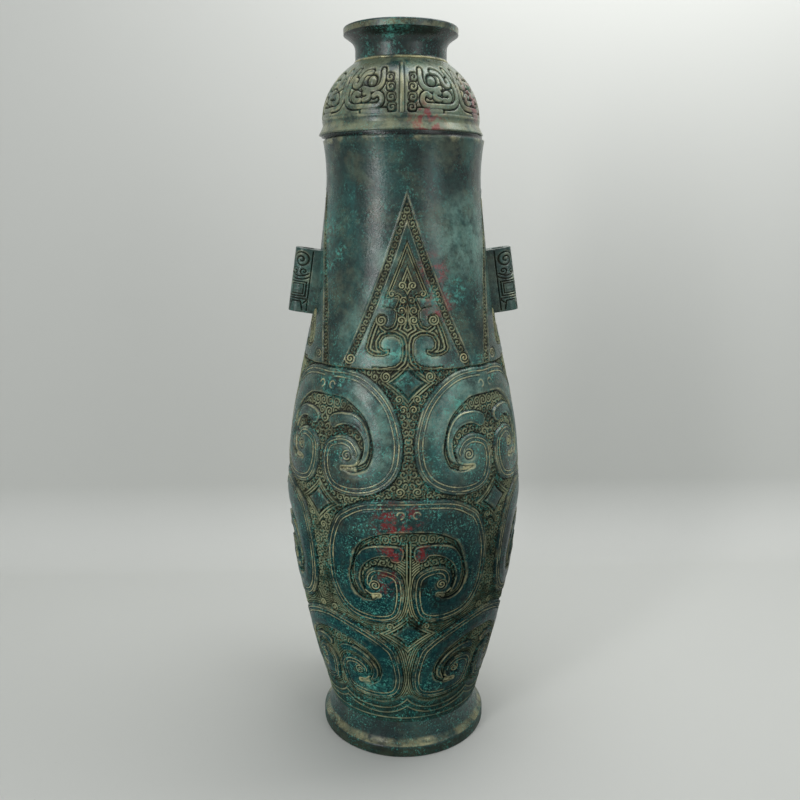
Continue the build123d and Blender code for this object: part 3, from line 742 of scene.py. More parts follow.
def lid_relief(angle, z):
    """A mask on an eighth of a turn of the lid: fin, column of spirals, snout, jaw, eye, brow and crest."""
    x = np.radians(angle) * LID_RADIUS
    whole = Relief(angle.shape)
    body = between(z, *LID_BODY)
    lines = [smooth_line(unrolled(band, LID_RADIUS)) for band in LID_BANDS]
    gap = np.min([nearest(x, z, line)[0] for line in lines], axis=0)
    lift = 1 - ridge(gap, LID_BAND_HALF + 0.5 * LID_GROOVE, LID_GROOVE)
    for *place, radius in LID_SPIRALS:
        centre = unrolled(place, LID_RADIUS)
        across, up = x - centre[0], z - centre[1]
        square = (np.abs(across) ** SQUARISH + np.abs(up) ** SQUARISH) ** (1 / SQUARISH)
        lift = np.where(square < radius, spiral(across, up, LID_SPIRAL_PITCH, 1.0, SQUARISH), lift)
        lift = np.minimum(lift, 1 - ridge(square, radius, 1.0))
    *place, radius = LID_EYE
    eye = unrolled(place, LID_RADIUS)
    gap = np.hypot(x - eye[0], z - eye[1])
    dome = LID_EYE_RISE * np.sqrt(np.clip(1 - (gap / radius) ** 2, 0, 1))
    lift = np.where(gap < radius + 0.5, dome, lift)
    lift = np.minimum(lift, np.where(gap > radius, 1 - ridge(gap, radius + 0.6, 1.2), 2))
    fin_edge = 0.8 * LID_FIN_WIDTH
    lift = np.where(x < fin_edge, 1 - ridge(x, fin_edge, 1.4), lift)
    fin = 1 - fade(x, 0.3 * LID_FIN_WIDTH, 0.5 * LID_FIN_WIDTH)
    lift = np.maximum(lift, LID_FIN_RISE * fin)
    base_line = ridge(z, LID_RELIEF_LOW, 1.4)
    skirt = 1 - fade(z, LID_RELIEF_LOW - 2.0, LID_RELIEF_LOW - 1.2)
    whole.height = body * LID_RELIEF_DEPTH * (lift - 1) + 0.3 * base_line
    whole.crest = np.maximum(0.6 * fin * body, 0.5 * np.maximum(base_line, skirt))
    whole.ground = body * (1 - fade(lift, 0.15, 0.6))
    return whole


def cut_spiral(x, z, pitch, turn, reach):
    """A spiral groove, 0 to 1, as far out as its reach."""
    return (1 - spiral(x, z, pitch, turn)) ** 2 * (np.hypot(x, z) < reach)


def lug_relief(across, up):
    """A lug's face, from the middle of its outer side, as grooves in a raised ground.

    From the top: a spiral, two curls over a crescent, a framed square with a bar, and a wedge between leaves.
    """
    x = np.abs(across)
    whole = Relief(across.shape)
    side = (x - LUG_FACE) / LUG_STRETCH
    apart = np.abs(side)
    grooves = [cut_spiral(side - 0.3, up - 12.6, 2.7, 1.0, 4.9)]
    grooves += [cut_spiral(side - 2.5 * turn, up - 5.6, 1.9, turn, 2.2) for turn in (-1, 1)]
    crescent = np.hypot(side, up - 9.8)
    grooves += [ridge(crescent, radius, LUG_GROOVE) * (up < 4.8) for radius in (7.2, 9.2)]
    square = np.maximum(apart / 4.6, np.abs(up + 5.2) / 4.4)
    grooves += [ridge(4.5 * square, reach, LUG_GROOVE) for reach in (4.5, 3.1)]
    grooves.append(0.5 * (square < 0.6) * ((np.abs(up + 5.2) > 0.8) | (apart > 1.7)))
    grooves.append(ridge(up, -11.2, LUG_GROOVE))
    grooves.append(ridge(apart - 2.6 + 0.25 * (up + 13), 0, LUG_GROOVE) * (up < -12.6))
    grooves.append(ridge(up, -12.8, LUG_GROOVE) * (apart < 2.6))
    grooves.append(ridge(apart - up - 17.7, 0, 1.4 * LUG_GROOVE) * (up < -11.6) * (up > -14.6))
    cut = np.max(grooves, axis=0) * (apart < 5.9)
    cut = np.maximum(cut, 0.5 * ridge(up / 4.3 % 1, 0.5, 0.25) * (x < 4.0))
    cut = np.maximum(cut, ridge(apart, LUG_FRAME, 0.8))
    framed = 1 - fade(apart, LUG_FRAME + 0.1, LUG_FRAME + 0.5)
    framed *= 1 - fade(np.abs(up), LUG_HALF_HEIGHT - 1.2, LUG_HALF_HEIGHT - 0.8)
    whole.height = -LUG_DEPTH * framed * cut
    whole.crest = 0.5 * framed * ridge(cut, 0.35, 0.5)
    whole.ground = framed * fade(cut, 0.4, 0.8)
    return whole


def wall_tree(node):
    """A CAD node's faces, ready to be hit by rays."""
    mesh = frame["nodes"][node].data
    corners = [vertex.co for vertex in mesh.vertices]
    return BVHTree.FromPolygons(corners, [face.vertices for face in mesh.polygons])


def ray_way(climb=0.0):
    """The way out between the ornaments, level or climbing by an angle in radians."""
    bearing = math.radians(RAY_BEARING)
    level = math.cos(climb)
    return Vector((math.sin(bearing) * level, -math.cos(bearing) * level, math.sin(climb)))


def ray_radius(node, levels, inward=True, axis_x=0.0):
    """Radius of a CAD node about an upright axis at each level, found by rays, in millimetres."""
    tree = wall_tree(node)
    out = ray_way()
    found = []
    for level in levels:
        axis = Vector((axis_x, 0, level)) * MM
        start = axis + out if inward else axis
        hit = tree.ray_cast(start, -out if inward else out)[0]
        if hit is None:
            raise RuntimeError(f"no wall of {node} at {level} mm")
        found.append((hit - axis).length / MM)
    return np.array(found)


def dome_outline(angles):
    """The lid's outer profile: rays from outside towards a point on its axis, at angles above the level."""
    tree = wall_tree("lid_dome")
    centre = Vector((LID_X, 0, DOME_CENTRE_Z)) * MM
    profile = []
    for angle in np.radians(angles):
        out = ray_way(angle)
        hit = tree.ray_cast(centre + out, -out)[0]
        if hit is None:
            raise RuntimeError("the lid's dome is open")
        profile.append((math.hypot(hit.x - centre.x, hit.y) / MM, hit.z / MM))
    return np.array(profile)


def body_radius(sizes):
    """The outer radius of belly and neck by height, as one smooth polynomial.

    It lies a wall's thickness outside the hollow that the frame gives, and meets the top of the foot.
    """
    low = np.linspace(FOOT_TOP + 5, SHOULDER_Z - 1, 90)
    high = np.linspace(SHOULDER_Z + 6, MOUTH_Z - 0.5, 60)
    inner = [ray_radius("belly_shell", low, inward=False), ray_radius("neck_shell", high, inward=False)]
    foot = ray_radius("foot_ring", [FOOT_TOP - 0.05])
    radii = np.concatenate([foot, *(part + sizes.body_wall / MM for part in inner)])
    return np.polynomial.Chebyshev.fit(np.concatenate([[FOOT_TOP], low, high]), radii, 16)


def wobble(angle, z):
    """Slow waves round the wall and up it, between -1 and 1."""
    turn = np.radians(angle)
    return (np.sin(2 * turn + z / 61) + np.sin(3 * turn - z / 37 + 1) + np.sin(5 * turn + z / 23 + 2)) / 3


def soft(values, size):
    """Running mean over a square of 2 size + 1 places, with the borders held."""
    for axis in (0, 1):
        pad = [(size + 1, size) if a == axis else (0, 0) for a in (0, 1)]
        total = np.cumsum(np.pad(values, pad, mode="edge"), axis=axis)
        span = 2 * size + 1
        ahead = np.take(total, range(span, total.shape[axis]), axis=axis)
        behind = np.take(total, range(total.shape[axis] - span), axis=axis)
        values = (ahead - behind) / span
    return values


def cap_places(points, left, bottom, width, height):
    """Flat places for the corners of an end face, turned along its longest way and fitted into a box."""
    centred = points - points.mean(axis=0)
    directions = np.linalg.svd(centred, full_matrices=False)[2]
    flat = centred @ directions[:2].T
    flat -= flat.min(axis=0)
    flat *= min(width / max(flat[:, 0].max(), 1e-9), height / max(flat[:, 1].max(), 1e-9))
    return flat + (left, bottom)


def grid_faces(index, ring, loop):
    """Corner numbers of the four-sided faces of a grid, and of the flat faces at its open ends."""
    below = index if loop else index[:-1]
    above = np.roll(index, -1, axis=0) if loop else index[1:]
    left = (lambda part: part) if ring else (lambda part: part[:, :-1])
    right = (lambda part: np.roll(part, -1, axis=1)) if ring else (lambda part: part[:, 1:])
    quads = np.stack([left(below), right(below), right(above), left(above)], axis=-1)
    ends = []
    if not ring:
        ends += [index[:, 0], index[::-1, -1]]
    if not loop:
        ends += [index[0, ::-1], index[-1]]
    return quads, ends


def grid_map(points, ends, ring, loop):
    """Places of all corners on the map: the grid below, the end faces in a strip above it."""
    columns = points.shape[1]
    middle = points[:, columns // 2]
    run = np.linalg.norm(np.diff(middle, axis=0), axis=1)
    if loop:
        run = np.append(run, np.linalg.norm(middle[0] - middle[-1]))
    v = np.concatenate([[0], np.cumsum(run)]) / run.sum() * MAP_TOP
    u = np.linspace(0, 1, columns + 1 if ring else columns)
    corner_u = np.stack([u[:-1], u[1:], u[1:], u[:-1]], axis=-1)[None]
    corner_v = np.stack([v[:-1], v[:-1], v[1:], v[1:]], axis=-1)[:, None]
    places = [np.stack(np.broadcast_arrays(corner_u, corner_v), axis=-1).reshape(-1, 2)]
    flat = points.reshape(-1, 3)
    places += [cap_places(flat[end], 0.02 + 0.5 * side, 0.92, 0.44, 0.07) for side, end in enumerate(ends)]
    return np.concatenate(places)


def sharp_edges(mesh, shape, corners, ring, loop):
    """True for the edges along the corner rows and round the end faces."""
    rows, columns = shape
    pairs = np.empty(len(mesh.edges) * 2, np.int32)
    mesh.edges.foreach_get("vertices", pairs)
    first, second = pairs[::2], pairs[1::2]
    same_row = first // columns == second // columns
    sharp = same_row & np.isin(first // columns, [row % rows for row in corners])
    if not ring:
        same_column = first % columns == second % columns
        sharp |= same_column & np.isin(first % columns, [0, columns - 1])
    if not loop:
        sharp |= same_row & np.isin(first // columns, [0, rows - 1])
    return sharp


def grid_piece(name, points, body, material, nodes, ring=False, loop=True, corners=(), paint=None):
    """A closed mesh on a grid of points in millimetres, put on its CAD body.

    Rows run up the outside and, with loop, back down the inside to the first row.
    Columns run round, and with ring join up. An end that does not join up gets one flat face.
    """
    shape = points.shape[:2]
    quads, ends = grid_faces(np.arange(shape[0] * shape[1]).reshape(shape), ring, loop)
    end_starts = quads.size + np.cumsum([0] + [len(end) for end in ends])[: len(ends)]
    starts = np.concatenate([np.arange(0, quads.size, 4), end_starts])
    vertex_index = np.concatenate([quads.ravel(), *ends])
    mesh = bpy.data.meshes.new(name)
    mesh.vertices.add(shape[0] * shape[1])
    mesh.vertices.foreach_set("co", (points * MM).astype(np.float32).ravel())
    mesh.loops.add(len(vertex_index))
    mesh.loops.foreach_set("vertex_index", vertex_index.astype(np.int32))
    mesh.polygons.add(len(starts))
    mesh.polygons.foreach_set("loop_start", starts.astype(np.int32))
    mesh.update(calc_edges=True)
    places = grid_map(points, ends, ring, loop).astype(np.float32)
    mesh.uv_layers.new(name="OFBake").data.foreach_set("uv", places.ravel())
    sharp = sharp_edges(mesh, shape, corners, ring, loop)
    mesh.attributes.new("sharp_edge", "BOOLEAN", "EDGE").data.foreach_set("value", sharp)
    for label, values in (paint or {}).items():
        attribute = mesh.attributes.new(label, "FLOAT", "POINT")
        attribute.data.foreach_set("value", values.astype(np.float32).ravel())
    if mesh.validate():
        raise RuntimeError(f"{name} has faulty faces")
    piece = bpy.data.objects.new(name, mesh)
    bpy.context.scene.collection.objects.link(piece)
    mesh.materials.append(material)
    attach(piece, body)
    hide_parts(*nodes)
    return piece


def turned_points(radius, z, angle, axis_x=0.0):
    """Points of a turned wall: radius, height and angle from the front, about an upright axis."""
    turn = np.radians(angle)
    return np.stack(np.broadcast_arrays(axis_x + radius * np.sin(turn), -radius * np.cos(turn), z), axis=-1)


def paint_of(relief, padding=0):
    """Crest, ground and wear masks of a relief, and a sunk mask of painted shade in its hollows, with empty
    rows added for the inside of the wall.
    """
    stand = relief.height - soft(relief.height, WEAR_REACH)
    # worn marks wear on raised places; sunk marks hollows and grooves for painted shade
    layers = {
        "crest": relief.crest, "ground": relief.ground, "worn": stand / FULL_WEAR, "sunk": -stand / FULL_SUNK_SHADE,
    }
    return {label: np.pad(np.clip(values, 0, 1), ((0, padding), (0, 0))) for label, values in layers.items()}


def half_shells(stem, relief, z, fold_span, body_curve, material, nodes, sizes):
    """Two closed half rings of wall, front and back, that carry a folded relief on their outside."""
    fold_columns = relief.height.shape[1] - 1
    reach = int(round(90 / fold_span)) * fold_columns
    inner_z = np.linspace(z[-1], z[0], INNER_ROWS)
    for side, start in (("front", -reach), ("back", reach)):
        steps = np.arange(start, start + 2 * reach + 1)
        angle = steps * fold_span / fold_columns
        wide = relief.part(np.s_[:, fold(steps, fold_columns)])
        sway = sizes.cast_wobble / MM * wobble(angle[None], z[:, None])
        outer = turned_points(body_curve(z)[:, None] + wide.height + sway, z[:, None], angle[None])
        inner_radius = body_curve(inner_z)[:, None] - sizes.body_wall / MM
        inner = turned_points(inner_radius + 0 * angle[None], inner_z[:, None], angle[None])
        points = np.concatenate([outer, inner])
        corners = (0, len(z) - 1, len(z), len(points) - 1)
        grid_piece(f"{stem}_{side}", points, "vessel", material, nodes,
                   corners=corners, paint=paint_of(wide, INNER_ROWS))


class NodeTree:
    """Short calls for building a node material."""

    def __init__(self, name):
        self.material = bpy.data.materials.new(name)
        self.material.use_nodes = True
        self.nodes = self.material.node_tree.nodes
        self.links = self.material.node_tree.links
        self.place = self.add("ShaderNodeTexCoord").outputs["Object"]

    def feed(self, node, inputs):
        """Fills inputs of a node; each gets a socket to link or a value to set."""
        for key, value in inputs.items():
            if isinstance(value, bpy.types.NodeSocket):
                self.links.new(value, node.inputs[key])
            else:
                node.inputs[key].default_value = value

    def add(self, kind, inputs=None, **settings):
        """A node with its settings and inputs."""
        made = self.nodes.new(kind)
        for key, value in settings.items():
            setattr(made, key, value)
        self.feed(made, inputs or {})
        return made

    def finish(self, inputs):
        """The material, with these inputs of its shader filled."""
        self.feed(self.nodes["Principled BSDF"], inputs)
        return self.material

    def noise(self, scale, detail, roughness, stretch=None):
        """Cloudy noise with so many clouds to the metre."""
        place = self.place
        if stretch:
            place = self.add("ShaderNodeMapping", {"Vector": place, "Scale": stretch}).outputs["Vector"]
        inputs = {"Vector": place, "Scale": scale, "Detail": detail, "Roughness": roughness}
        return self.add("ShaderNodeTexNoise", inputs).outputs["Fac"]

    def ramp(self, value, low, high):
        """0 under low, 1 over high, smooth between."""
        inputs = {"Value": value, "From Min": low, "From Max": high}
        return self.add("ShaderNodeMapRange", inputs, interpolation_type="SMOOTHSTEP").outputs["Result"]

    def shift(self, value, low, high, least, most):
        """Least under low, most over high, straight between."""
        inputs = {"Value": value, "From Min": low, "From Max": high, "To Min": least, "To Max": most}
        return self.add("ShaderNodeMapRange", inputs).outputs["Result"]

    def cloud(self, name, stretch=None):
        """One of the named noise patterns, from 0 to its share."""
        pattern = CLOUDS[name]
        field = self.noise(pattern.scale, pattern.detail, pattern.roughness, stretch)
        return self.times(self.ramp(field, pattern.start, pattern.full), pattern.share)

    def maths(self, operation, *values):
        """The values joined by one operation, from left to right."""
        joined = values[0]
        for value in values[1:]:
            joined = self.add("ShaderNodeMath", {0: joined, 1: value}, operation=operation).outputs["Value"]
        return joined

    def times(self, *values):
        return self.maths("MULTIPLY", *values)

    def rest(self, value):
        """What is left of 1."""
        return self.maths("SUBTRACT", 1.0, value)

    def near(self, place, reach):
        """1 close to a place and 0 from its reach outward."""
        gap = self.add("ShaderNodeVectorMath", {0: self.place, 1: place}, operation="DISTANCE")
        return self.ramp(gap.outputs["Value"], reach, 0.25 * reach)

    def mask(self, label):
        """A painted attribute of the piece."""
        return self.add("ShaderNodeAttribute", attribute_name=label).outputs["Fac"]

    def mix(self, share, under, over):
        """The over colour laid on the under colour by share."""
        made = self.add("ShaderNodeMix", {"Factor": share, 6: under, 7: over}, data_type="RGBA")
        return made.outputs[2]


def patina(name, colours, earthy=1.0, blue_and_shade_below=0.0, red=(), aqua=(), pale_and_highlight=(), bloom=0.6, brown=0.13,
           soil=0.46, dark=0.0, rub=0.45, thin=0.0):
    """Patinated bronze: cloudy greens, turquoise bloom, earth in the ground, rubbed crests and red oxide,
    with painted shade in grooves, low down and on the right, and pale patches that are partly painted
    highlight.
    """
    tree = NodeTree(name)
    split = tree.add("ShaderNodeSeparateXYZ", {"Vector": tree.place}).outputs
    height = split["Z"]
    ground, worn = tree.mask("ground"), tree.mask("worn")
    low = tree.ramp(height, blue_and_shade_below + BLUE_AND_SHADE_RUN[0], blue_and_shade_below + BLUE_AND_SHADE_RUN[1])

    # Walls: cloudy greens, blue patina low down that is also darkened as painted shade, patches of soil, pale
    # clouds that are partly painted highlight, fine grain and red stains
    colour = tree.mix(tree.cloud("walls"), colours.dark, colours.green)
    colour = tree.mix(tree.cloud("streaks", STREAK_STRETCH), colour, colours.sea)
    deep = tree.mix(tree.cloud("deep"), colours.near_black_and_shade, colours.blue)
    deep = tree.mix(tree.cloud("glints"), deep, colours.sea)
    # Low down the colour turns blue and darker: the blue is patina, the darkening is painted shade
    colour = tree.mix(tree.times(low, 0.85), colour, deep)
    patches = tree.ramp(tree.noise(*SOIL_CLOUDS), soil, soil + SOIL_RUN)
    patches = tree.times(patches, tree.rest(tree.times(low, 0.8)), brown)
    colour = tree.mix(patches, colour, colours.khaki)
    # Pale patches at the listed places: partly pale patina, partly painted highlight
    cloudy = tree.cloud("wash_and_highlight")
    for spot in pale_and_highlight:
        colour = tree.mix(tree.times(tree.near(*spot), cloudy), colour, colours.wash_and_highlight)
    colour = tree.mix(tree.cloud("grain"), colour, colours.dark)
    colour = tree.mix(dark, colour, colours.dark)
    stain = tree.cloud("stain")
    for spot in red:
        colour = tree.mix(tree.times(tree.near(*spot), stain), colour, colours.cuprite)

    # Dirt in the ground and the grooves, then painted shade darkening the sunk places
    dirt = tree.mix(tree.cloud("earth"), colours.earth, colours.near_black_and_shade)
    mossy = tree.mix(tree.cloud("moss"), colours.moss, colours.near_black_and_shade)
    dirt = tree.mix(tree.times(low, 0.8), dirt, mossy)
    colour = tree.mix(tree.times(ground, 0.9 * earthy), colour, dirt)
    # Painted shade: near black laid on the sunk places
    colour = tree.mix(tree.times(tree.mask("sunk"), 0.95), colour, colours.near_black_and_shade)

    # Turquoise bloom: fine specks and flakes inside larger patches
    specks = tree.times(tree.cloud("specks"), tree.cloud("speck fields"))
    flakes = tree.times(tree.cloud("flakes"), tree.cloud("flake fields"))
    sparse = tree.times(tree.ramp(height, *SPARSE_RUN), thin)
    spread = tree.times(tree.maths("MAXIMUM", specks, flakes), bloom, tree.rest(sparse))
    ragged = tree.cloud("ragged")
    for spot in aqua:
        spread = tree.maths("MAXIMUM", spread, tree.times(tree.near(*spot), ragged))
    colour = tree.mix(spread, colour, tree.mix(tree.cloud("cool"), colours.sea, colours.turquoise))

    # Rubbed crest lines, paler lines in the ground, and shade low down on the right
    crest = tree.times(tree.ramp(tree.mask("crest"), *CREST_RUN), tree.cloud("crest"))
    crest = tree.times(crest, tree.shift(height, *CREST_SHINE))
    colour = tree.mix(crest, colour, colours.gilt)
    colour = tree.mix(tree.times(worn, ground, tree.cloud("lines")), colour, colours.khaki)
    rubbed = tree.times(worn, tree.rest(ground), tree.cloud("rubbed"), rub)
    colour = tree.mix(rubbed, colour, colours.gilt)
    shade = tree.times(tree.ramp(split["X"], *SHADE_RUN), low, 0.5)
    colour = tree.mix(shade, colour, colours.near_black_and_shade)

    rough = tree.shift(tree.noise(*GLOSS_CLOUDS), *GLOSS)
    rough = tree.maths("ADD", rough, tree.times(ground, 0.25), tree.times(spread, 0.2))
    polish = tree.shift(tree.rest(low), *POLISH)
    polish = tree.times(polish, tree.rest(tree.times(ground, 0.7)))
    pitted = {"Height": tree.noise(*PIT_CLOUDS), "Strength": 0.3, "Distance": 0.0004}
    return tree.finish({
        "Base Color": colour,
        "Metallic": tree.times(crest, 0.6),
        "Roughness": rough,
        "Specular IOR Level": polish,
        "Normal": tree.add("ShaderNodeBump", pitted).outputs["Normal"],
    })


def patina_of(name, colours):
    """One of the vessel's patinas, made the first time it is asked for."""
    return bpy.data.materials.get(name) or patina(name, colours, **PATINAS[name])


def paper(name, colours):
    """Pale paper with a faint fleck."""
    tree = NodeTree(name)
    shade = tuple(PAPER_SHADE * part for part in colours.backdrop[:3]) + (1,)
    colour = tree.mix(tree.cloud("fleck"), colours.backdrop, shade)
    return tree.finish({"Base Color": colour, "Roughness": 0.7})


class HU_OT_belly(bpy.types.Operator):
    """Three tiers of coiled panels on the belly, each a front and a back half ring"""

    bl_idname = "hu_vessel.belly"
    bl_label = "Belly"

    def execute(self, context):
        sizes = context.scene.hu_sizes
        material = patina_of("body_patina", context.scene.hu_colours)
        curve = body_radius(sizes)
        ends = (FOOT_TOP, LOWER_TOP, MIDDLE_TOP, SHOULDER_Z)
        levels = [
            np.linspace(low, high, int((high - low) / GRID_STEP) + 1)
            for low, high in zip(ends[:-1], ends[1:])
        ]
        angle = np.linspace(0, 45, FOLD_COLUMNS + 1)
        relief = belly_relief(*np.meshgrid(angle, np.concatenate(levels)), sizes)
        row = 0
        for stem, level in zip(("lower", "middle", "upper"), levels):
            tier = relief.part(slice(row, row + len(level)))
            half_shells(f"belly_{stem}", tier, level, 45, curve, material, ["belly_shell"], sizes)
            row += len(level)
        return {"FINISHED"}


class HU_OT_neck(bpy.types.Operator):
    """The neck with its four leaf blades, in a front and a back half ring"""

    bl_idname = "hu_vessel.neck"
    bl_label = "Neck"

    def execute(self, context):
        sizes = context.scene.hu_sizes
        material = patina_of("body_patina", context.scene.hu_colours)
        blade_rows = np.linspace(SHOULDER_Z, NECK_PLAIN_Z, NECK_ROWS[0], endpoint=False)
        z = np.concatenate([blade_rows, np.linspace(NECK_PLAIN_Z, MOUTH_Z, NECK_ROWS[1])])
        relief = neck_relief(*np.meshgrid(np.linspace(0, 90, NECK_COLUMNS + 1), z))
        spacers = [node for node in frame["nodes"] if node.startswith("core_spacer")]
        half_shells("neck", relief, z, 90, body_radius(sizes), material, ["neck_shell", *spacers], sizes)
        return {"FINISHED"}


class HU_OT_foot(bpy.types.Operator):
    """The flared ring foot with its square lip"""

    bl_idname = "hu_vessel.foot"
    bl_label = "Foot"

    def execute(self, context):
        material = patina_of("foot_patina", context.scene.hu_colours)
        flare = np.linspace(FOOT_LIP, FOOT_TOP, FOOT_ROWS[0])
        flare_radius = ray_radius("foot_ring", np.clip(flare, FOOT_LIP + 0.05, FOOT_TOP - 0.05))
        hollow = np.linspace(*FOOT_HOLLOW, FOOT_ROWS[1])
        hollow_radius = ray_radius("foot_ring", hollow, inward=False)
        throat = hollow_radius[0] - FOOT_FLANGE
        outside = np.concatenate([
            np.array(FOOT_LIP_SHAPE) + (FOOT_HIGH[0], 0),
            np.stack([flare_radius, flare], axis=1)[1:],
        ])
        inside_profile = np.concatenate([
            [(throat, FOOT_TOP), (throat, FOOT_FLANGE_Z)],
            np.stack([hollow_radius, hollow], axis=1),
            [(hollow_radius[-1], 0)],
        ])
        profile = np.concatenate([outside, inside_profile])
        angle = np.linspace(0, 360, FOOT_COLUMNS, endpoint=False)
        sway = FOOT_WOBBLE * context.scene.hu_sizes.cast_wobble / MM * wobble(angle[None], profile[:, 1:])
        points = turned_points(profile[:, :1] + sway, profile[:, 1:], angle[None])
        relief = Relief((len(profile), len(angle)))
        top = len(outside) - 1
        level = outside[:, 1:]
        patchy = 0.5 + 0.5 * wobble(3 * angle[None], 5 * level)
        # Pale wear with a painted highlight along the top edge of the lip, laid as crest
        relief.crest[: top + 1] = between(level, *FOOT_SHINE) * (0.46 + 0.34 * patchy)
        relief.ground[: top + 1] = 0.7 * (1 - fade(level, 6.0, 6.9))
        grid_piece("foot", points, "vessel", material, ["foot_ring"],
                   ring=True, corners=(top, top + 1, len(profile) - 1), paint=paint_of(relief))
        return {"FINISHED"}


class HU_OT_lugs(bpy.types.Operator):
    """The two pierced lugs, with relief round their outer sides"""

    bl_idname = "hu_vessel.lugs"
    bl_label = "Lugs"

    def execute(self, context):
        material = patina_of("body_patina", context.scene.hu_colours)
        straight = LUG_HALF_WIDTH - LUG_CORNER
        quarter = LUG_CORNER * math.pi / 2
        reach = straight + quarter + LUG_COVER - LUG_CORNER + LUG_SINK
        across = np.linspace(-reach, reach, LUG_COLUMNS)
        turn = np.clip((np.abs(across) - straight) / LUG_CORNER, 0, math.pi / 2)
        past = np.clip(np.abs(across) - straight - quarter, 0, None)
        normal_x, normal_y = np.cos(turn), np.sign(across) * np.sin(turn)
        section_x = LUG_COVER - LUG_CORNER + LUG_CORNER * normal_x - past
        section_y = np.sign(across) * np.minimum(np.abs(across), straight) + LUG_CORNER * normal_y
        bearing = np.arctan2(section_y, section_x)
        level = np.linspace(-LUG_HALF_HEIGHT, LUG_HALF_HEIGHT, LUG_ROWS)
        bore_level = np.linspace(LUG_HALF_HEIGHT, -LUG_HALF_HEIGHT, BORE_ROWS)
        relief = lug_relief(*np.meshgrid(across, level))
        bore = np.ones((BORE_ROWS, 1)) * BORE_RADIUS
        local_x = np.concatenate([section_x + relief.height * normal_x, bore * np.cos(bearing)])[..., None]
        local_y = np.concatenate([section_y + relief.height * normal_y, bore * np.sin(bearing)])[..., None]
        local_z = np.concatenate([level, bore_level])[:, None, None]
        corners = (0, LUG_ROWS - 1, LUG_ROWS, LUG_ROWS + BORE_ROWS - 1)
        for side in ("left", "right"):
            mount = MOUNTS[f"{side}_cord_bore"]
            centre = np.array(mount["pos_m"]) / MM
            up = np.array(mount["axis"])
            out = np.array([math.copysign(up[2], centre[0]), 0, abs(up[0])])
            points = centre + local_x * out + local_y * np.cross(up, out) + local_z * up
            grid_piece(f"{side}_lug_relief", points, "vessel", material, [f"{side}_lug"],
                       ring=True, corners=corners, paint=paint_of(relief, BORE_ROWS))
        return {"FINISHED"}


class HU_OT_lid_dome(bpy.types.Operator):
    """The lid's dome with four masks, a plain lip and the seat of the crown"""

    bl_idname = "hu_vessel.lid_dome"
    bl_label = "Lid dome"

    def execute(self, context):
        material = patina_of("lid_patina", context.scene.hu_colours)
        lip_radius, lip_z, seat_z = LID_HIGH[0] - LID_X, LID_LOW[2], CROWN_LOW[2]
        outside = dome_outline(np.concatenate([np.linspace(*rays) for rays in DOME_RAYS]))
        boss_radius = ray_radius("lid_crown", [seat_z + 2], inward=False, axis_x=LID_X)[0] - 0.1
        inner_levels = np.linspace(*LID_HOLLOW, 14)
        inner_radius = ray_radius("lid_dome", inner_levels, inward=False, axis_x=LID_X)
        inside_profile = np.stack([inner_radius, inner_levels], axis=1)
        lip = np.array(LID_LIP_SHAPE) + (lip_radius, lip_z)
        top = np.array([(outside[-1, 0] - 0.2, seat_z), (boss_radius, seat_z), (boss_radius, LID_HIGH[2])])
        outside = outside[(outside[:, 1] > lip_z + 0.6) & (outside[:, 1] < seat_z - 0.2)]
        profile = np.concatenate([inside_profile, lip, outside, top])
        first = len(inside_profile) + len(lip)
        outer_rows = slice(first, first + len(outside))
        drawn = lid_relief(*np.meshgrid(np.linspace(0, 45, LID_COLUMNS + 1), profile[:, 1]))
        relief = Relief(drawn.height.shape)
        relief.paste(outer_rows, drawn.part(outer_rows))
        steps = np.arange(8 * LID_COLUMNS)
        wide = relief.part(np.s_[:, fold(steps, LID_COLUMNS)])
        slope = np.gradient(profile, axis=0)
        slope /= np.linalg.norm(slope, axis=1, keepdims=True)
        radius = profile[:, :1] + wide.height * slope[:, 1:]
        level = profile[:, 1:] - wide.height * slope[:, :1]
        points = turned_points(radius, level, steps[None] * 45 / LID_COLUMNS + LID_TURN, LID_X)
        corners = (len(inside_profile), len(profile) - 2, len(profile) - 3)
        grid_piece("lid_dome_relief", points, "lid", material, ["lid_dome"],
                   ring=True, loop=False, corners=corners, paint=paint_of(wide))
        return {"FINISHED"}


